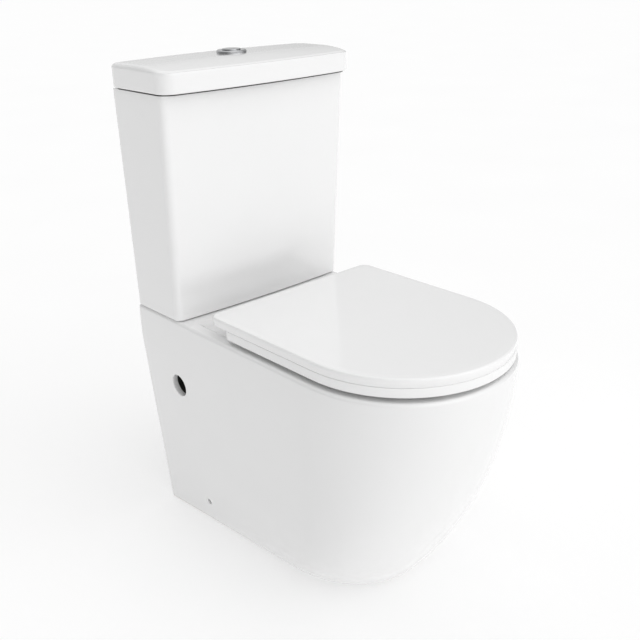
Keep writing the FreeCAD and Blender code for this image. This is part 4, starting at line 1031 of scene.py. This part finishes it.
@dataclass
class CisternLid:
    """The cistern's lid: a crowned casting with a soft edge, hollow below."""

    bow: float = 10.4 * MM
    corner: float = 25 * MM
    top_edge: float = 8 * MM
    base_edge: float = 2 * MM
    crown: float = 2.4 * MM
    falls: Triple = (2.0 * MM, 3.0 * MM, 6.5 * MM)
    level_reach: float = 26 * MM
    rebate: Pair = (6 * MM, 2.4 * MM)
    wall: float = 11 * MM
    hole: float = 20.5 * MM
    button_wall: float = 75 * MM
    button_rise: float = 6.3 * MM
    depth: float = 160 * MM
    lug: Triple = (30 * MM, 8 * MM, 12 * MM)
    lug_x: float = 120 * MM
    lug_walls: Pair = (13.5 * MM, 126 * MM)

    def __post_init__(self) -> None:
        """Takes the overall sizes from the frame."""
        low, high = node_box("cistern_lid")
        self.half_width = (high.x - low.x) / 2
        self.base = low.z + self.lug[2]
        self.edge_top = node_box("full_flush_button")[1].z - self.button_rise - self.crown

    def plan(self, level: float, inset: float) -> Plan:
        """Plan drawn inwards by an inset.

        Args:
            level: its height.
            inset: distance inwards.

        Returns:
            The plan's points.
        """
        round_off = max(self.corner - inset, 6 * MM)
        return bowed_plan(level, self.half_width - inset, inset, self.depth - inset, self.bow,
                          (round_off, round_off))

    def top(self, point: Vector) -> float:
        """Height of the top, which is level round the button and falls to the sides, back and front.

        Args:
            point: a point of the plan.

        Returns:
            The top's height there.
        """
        off = WALL_Y - point.y - self.button_wall
        side, back, front = self.falls
        length, fall = (self.depth - self.button_wall, front) if off > 0 else (self.button_wall, back)
        drop = side * self.slope(abs(point.x), self.half_width) + fall * self.slope(abs(off), length)
        return self.edge_top + self.crown - drop

    def slope(self, distance: float, length: float) -> float:
        """Share of a fall at a distance from the button: none near it, all of it at a length."""
        return max(0.0, (distance - self.level_reach) / (length - self.level_reach)) ** 1.5

    def hole_ring(self, radius: float, level: float, like: Plan) -> Plan:
        """Ring round the button's hole.

        Args:
            radius: the ring's radius.
            level: its height.
            like: the plan whose points its own face.

        Returns:
            The ring's points.
        """
        centre = wall_point(0, self.button_wall, level)
        ring = []
        for point in like:
            away = Vector((point.x, point.y - centre.y, 0)).normalized()
            ring.append(centre + away * radius)
        return ring

    def build(self) -> Mesh:
        """Builds the lid's closed skin, with its locating lugs.

        Returns:
            The skin's mesh.
        """
        step, gap = self.rebate
        lip = self.base + gap
        skin = RingSkin(self.plan(lip, self.base_edge))
        for rise, inset in quarter_under(self.base_edge, 3):
            skin.grow([self.plan(lip + self.base_edge - rise, inset)])
        edge = self.edge_top - self.top_edge
        skin.grow(self.plan(blend(lip + self.base_edge, edge, i / 6), 0.0) for i in range(1, 7))
        for rise, inset in quarter_round(self.top_edge, 8)[1:]:
            ring = self.plan(edge + rise, inset)
            lift = smooth_step(0.0, self.top_edge, rise)
            skin.grow([[Vector((p.x, p.y, p.z + (self.top(p) - self.edge_top) * lift)) for p in ring]])
        rim = skin.copied(-1)
        mouth = self.hole_ring(self.hole + 1 * MM, 0.0, rim)
        for i in range(1, 25):
            plan = between(rim, mouth, i / 24)
            skin.grow([[Vector((p.x, p.y, self.top(p))) for p in plan]])
        crest = self.top(mouth[0])
        ceiling = self.edge_top - self.wall
        skin.grow([self.hole_ring(self.hole, crest - 1 * MM, rim), self.hole_ring(self.hole, ceiling, rim)])
        skin.bridge(self.plan(ceiling, self.wall + 4 * MM), 6)
        under = ((ceiling - 1.2 * MM, self.wall + 1.2 * MM), (ceiling - 4 * MM, self.wall),
                 (self.base + 1 * MM, self.wall), (self.base, self.wall - 1 * MM), (self.base, step),
                 (lip, step))
        skin.grow(self.plan(level, inset) for level, inset in under)
        # The rebate's upright face gets painted shade: a near-black finish for the shadow in the gap under
        # the lid.
        skin.mark_painted_shade(-2)
        skin.close()
        width, thickness, drop = self.lug
        for x in (-self.lug_x, self.lug_x):
            for wall in self.lug_walls:
                low = wall_point(x - width / 2, wall + thickness, self.base - drop)
                high = wall_point(x + width / 2, wall, ceiling + 2 * MM)
                add_box(skin.bm, low, high, 1.5 * MM)
        return skin.bm

    def dress(self) -> None:
        """Adds the lid to the scene."""
        finished("cistern_cover", self.build(), "cistern_lid", GLAZE, ["cistern_lid"], PAINTED_SHADE)


@dataclass
class Cover:
    """Shared shape of the seat and its lid: straight rear and sides, round front."""

    node: str
    rear: float
    corner: float
    base_edge: float
    top_edge: float
    side_end: float = 452 * MM
    roundness: float = 2.02
    spacing: float = 155 * MM
    axis_wall: float = 219 * MM
    eye: float = 7.5 * MM
    eye_span: Pair = (10.7 * MM, 24.7 * MM)
    bore: float = 5.05 * MM

    def __post_init__(self) -> None:
        """Takes the overall sizes from the frame."""
        low, high = node_box(self.node)
        self.half_width = (high.x - low.x) / 2
        self.front = WALL_Y - low.y
        self.low, self.high = low.z, high.z
        pin_low, pin_high = node_box("hinge_pin_left")
        self.axis = (pin_low.z + pin_high.z) / 2

    def plan(self, level: float, inset: float) -> Plan:
        """Plan drawn inwards by an inset.

        Args:
            level: its height.
            inset: distance inwards.

        Returns:
            The plan's points, from the nose round by +X to the back and on.
        """
        half_width = self.half_width - inset
        reach = self.front - self.side_end - inset
        radius = max(self.corner - inset, 0.5 * MM)
        power = 2 / self.roundness
        half = []
        for i in range(48):
            angle = math.pi / 2 * (1 - i / 48)
            wall = self.side_end + reach * math.sin(angle) ** power
            half.append((half_width * math.cos(angle) ** power, wall))
        back = self.rear + inset
        half += [(half_width, blend(self.side_end, back + radius, i / 20)) for i in range(20)]
        for i in range(9):
            turn = math.pi / 2 * i / 8
            half.append((half_width - radius * (1 - math.cos(turn)), back + radius * (1 - math.sin(turn))))
        half += [(blend(half_width - radius, 0.0, i / 24), back) for i in range(1, 25)]
        return mirrored(half, level)

    def add_lug(self, bm: Mesh, x_range: Pair, walls: Pair,
                levels: Pair) -> None:
        """Adds a bored eye on the hinge axis and the block that holds it, on both sides.

        Args:
            bm: the cover's mesh.
            x_range: ends of the eye on the +X side.
            walls: rear and front of the block, from the wall.
            levels: bottom and top of the block.
        """
        length = x_range[1] - x_range[0]
        profile = rounded_profile([(self.bore, 0), (self.eye, 0), (self.eye, length), (self.bore, length)],
                                  0.8 * MM, 3)
        for side in (-1, 1):
            start = min(side * x_range[0], side * x_range[1])
            eye = spun(profile, Vector(), 48)
            move = Matrix.Translation(wall_point(start, self.axis_wall, self.axis))
            bmesh.ops.transform(eye, matrix=move @ Matrix.Rotation(math.pi / 2, 4, "Y"), verts=eye.verts)
            mesh = bpy.data.meshes.new("eye")
            eye.to_mesh(mesh)
            eye.free()
            bm.from_mesh(mesh)
            bpy.data.meshes.remove(mesh)
            add_box(bm, wall_point(start, walls[1], levels[0]),
                    wall_point(start + length, walls[0], levels[1]), 0.8 * MM)


@dataclass
class Seat(Cover):
    """The seat ring."""

    node: str = "seat"
    rear: float = 241 * MM
    corner: float = 16 * MM
    base_edge: float = 3 * MM
    top_edge: float = 1 * MM
    opening: Triple = (112 * MM, 290 * MM, 560 * MM)
    opening_roundness: float = 2.2
    mouth_edge: float = 4 * MM
    thickness: float = 15.6 * MM

    def mouth(self, level: float, growth: float) -> Plan:
        """Ring of the opening, whose points face those of the outside plan.

        Args:
            level: its height.
            growth: distance outwards from the opening's edge.

        Returns:
            The ring's points.
        """
        half_width, rear, front = self.opening
        centre = wall_point(0, (rear + front) / 2, level)
        ring = []
        for across, along in directions_from(self.plan(level, 0.0), centre.y):
            reach = oval_reach((across, along), half_width + growth, (front - rear) / 2 + growth,
                               self.opening_roundness)
            ring.append(centre + Vector((across, along, 0)) * reach)
        return ring

    def dress(self) -> None:
        """Adds the seat to the scene."""
        base = self.low
        top = base + self.thickness
        skin = RingSkin(self.plan(base, self.base_edge))
        for rise, inset in quarter_under(self.base_edge, 5):
            skin.grow([self.plan(base + self.base_edge - rise, inset)])
        for rise, inset in quarter_round(self.top_edge, 3):
            skin.grow([self.plan(top - self.top_edge + rise, inset)])
        skin.bridge(self.mouth(top, self.mouth_edge), 6)
        for rise, inset in quarter_under(self.mouth_edge, 5):
            skin.grow([self.mouth(top - self.mouth_edge + rise, inset)])
        skin.grow([self.mouth(base + 1.5 * MM, 0.0), self.mouth(base + 0.5 * MM, 0.5 * MM),
                   self.mouth(base, 1.5 * MM)])
        skin.close(6)
        middle = self.spacing / 2
        near, far = self.eye_span
        self.add_lug(skin.bm, (middle + near, middle + far), (self.axis_wall, self.rear + self.corner),
                     (base + 1 * MM, self.axis + self.eye))
        finished("seat_ring", skin.bm, "seat", SEAT_FINISH, ["seat"])


@dataclass
class SeatLid(Cover):
    """The seat's lid, hollow underneath."""

    node: str = "seat_lid"
    rear: float = 207 * MM
    corner: float = 17 * MM
    base_edge: float = 0.4 * MM
    top_edge: float = 3.5 * MM
    recess: float = 6 * MM
    rim: float = 12 * MM
    thickness: float = 13.8 * MM

    def dress(self) -> None:
        """Adds the lid to the scene."""
        top = self.high
        base = top - self.thickness
        ceiling = base + self.recess
        skin = RingSkin(self.plan(base, self.base_edge))
        skin.grow([self.plan(base + self.base_edge, 0.0)])
        for rise, inset in quarter_round(self.top_edge, 8):
            skin.grow([self.plan(top - self.top_edge + rise, inset)])
        middle = wall_point(0, (self.rear + self.front) / 2, top)
        rim = skin.copied(-1)
        skin.grow([p.lerp(middle, i / 16) for p in rim] for i in range(1, 16))
        skin.cap(skin.rings[-1])
        under = skin.extruded(skin.rings[0], self.plan(base, self.rim - 0.5 * MM))
        for plan in (self.plan(base + 0.5 * MM, self.rim), self.plan(ceiling - 1 * MM, self.rim),
                     self.plan(ceiling, self.rim + 1 * MM)):
            under = skin.extruded(under, plan)
        skin.cap(under)
        half = self.spacing / 2
        walls = (self.axis_wall - self.eye, self.axis_wall + self.eye)
        near, far = self.eye_span
        self.add_lug(skin.bm, (half - far, half - near), walls, (self.axis, ceiling + 1 * MM))
        finished("seat_cover", skin.bm, "seat_lid", SEAT_FINISH, ["seat_lid"])


# ---------------------------------------------------------------- stage
@dataclass
class Studio:
    """Pale floor, soft light and the camera."""

    eye: Triple = (-0.9144, -0.9757, 0.9797)
    yaw: float = math.radians(-42.0)
    pitch: float = math.radians(22.68)
    roll: float = math.radians(-1.38)
    lens: float = 49.815
    sensor: float = 36.0
    floor_size: float = 60.0
    floor_glow: float = 0.46
    floor_tones: Pair = (0.53, 0.56)
    floor_roughness: float = 0.9
    tone_size: float = 0.5
    footprint: Pair = (108 * MM, 222 * MM)
    footprint_middle: float = 236 * MM
    footprint_power: float = 3.0
    ambient: float = 0.175
    glows: tuple[tuple[Triple, float, float], ...] = (
        ((0.0, 0.0, 1.0), 2.0, 1.12), ((0.3, 0.95, 0.1), 2.0, 0.72), ((0.1, -1.0, 0.05), 2.0, 1.52),
        ((0.2, -0.7, 0.8), 6.0, 0.80))

    def covered(self, graph: Surface) -> Wire:
        """Finds the floor inside the pan's foot, which gives off no light.

        Args:
            graph: the floor's graph.

        Returns:
            1 inside the foot and 0 around it.
        """
        offsets = (graph.along("X"), graph.along("Y") - from_wall(self.footprint_middle))
        sideways, lengthways = ((offset * (1 / half)).math("ABSOLUTE").math("POWER", self.footprint_power)
                                for offset, half in zip(offsets, self.footprint))
        return (sideways + lengthways).math("LESS_THAN", 1.0)

    def floor(self) -> None:
        """Adds the floor, which shows almost white with a faint contact shadow."""
        bm = bmesh.new()
        bmesh.ops.create_grid(bm, x_segments=1, y_segments=1, size=self.floor_size / 2)
        mesh = bpy.data.meshes.new("floor")
        bm.to_mesh(mesh)
        bm.free()
        floor = bpy.data.objects.new("floor", mesh)
        bpy.context.scene.collection.objects.link(floor)
        graph = Surface("floor_finish")
        dark, pale = ((level, level, level) for level in self.floor_tones)
        graph.feed(Base_Color=graph.mix(graph.noise(self.tone_size, 3.0), dark, pale),
                   Roughness=self.floor_roughness, Specular_IOR_Level=0.0,
                   Emission_Color=graph.mix(self.covered(graph), (1.0, 1.0, 1.0), (0.0, 0.0, 0.0)),
                   Emission_Strength=self.floor_glow)
        mesh.materials.append(graph.material)

    def sky(self) -> None:
        """Sets a surround that shows white and lights the object mostly from the front and above."""
        world = bpy.data.worlds.new("surround")
        bpy.context.scene.world = world
        world.use_nodes = True
        graph = Graph(world.node_tree)
        place = graph.node("ShaderNodeTexCoord", {}, {}, "Generated")
        light: Wire | float = self.ambient
        for direction, sharpness, strength in self.glows:
            aim = tuple(Vector(direction).normalized())
            facing = graph.node("ShaderNodeVectorMath", {"operation": "DOT_PRODUCT"},
                                {0: place, 1: aim}, "Value")
            light = facing.math("MAXIMUM", 0.0).math("POWER", sharpness) * strength + light
        around = graph.node("ShaderNodeBackground", {}, {"Strength": light})
        seen = graph.node("ShaderNodeBackground", {}, {"Strength": 1.0})
        path = graph.node("ShaderNodeLightPath", {}, {}, "Is Camera Ray")
        mixed = graph.node("ShaderNodeMixShader", {}, {0: path, 1: around, 2: seen})
        output = graph.tree.nodes.new("ShaderNodeOutputWorld")
        graph.join(output.inputs["Surface"], mixed)

    def camera(self) -> None:
        """Places the camera, which is turned by yaw, tilted down by pitch and rolled about its own view."""
        aim = Matrix.Rotation(self.yaw, 4, "Z") @ Matrix.Rotation(math.pi / 2 - self.pitch, 4, "X")
        data = bpy.data.cameras.new("view")
        data.lens = self.lens
        data.sensor_width = self.sensor
        camera = bpy.data.objects.new("view", data)
        camera.matrix_world = Matrix.Translation(self.eye) @ aim @ Matrix.Rotation(self.roll, 4, "Z")
        bpy.context.scene.collection.objects.link(camera)
        bpy.context.scene.camera = camera

    def build(self) -> None:
        """Adds everything round the object."""
        self.floor()
        self.sky()
        self.camera()
        bpy.context.scene.view_settings.view_transform = "Standard"


# ---------------------------------------------------------------- scene
def dress_nodes() -> None:
    """Gives every CAD node the finish of its material slot."""
    for name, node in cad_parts.items():
        for slot in node.material_slots:
            kind = slot.material.name.split(".")[0] if slot.material else ""
            LOG.debug("%s: %s", name, kind)
            if kind in FINISHES:
                slot.material = FINISHES[kind].material()


def main() -> None:
    """Builds the scene."""
    logging.basicConfig(level=logging.INFO, format="%(name)s: %(message)s")
    dress_nodes()
    Pan().dress()
    CisternLid().dress()
    Seat().dress()
    SeatLid().dress()
    Studio().build()


if __name__ == "__main__":
    main()
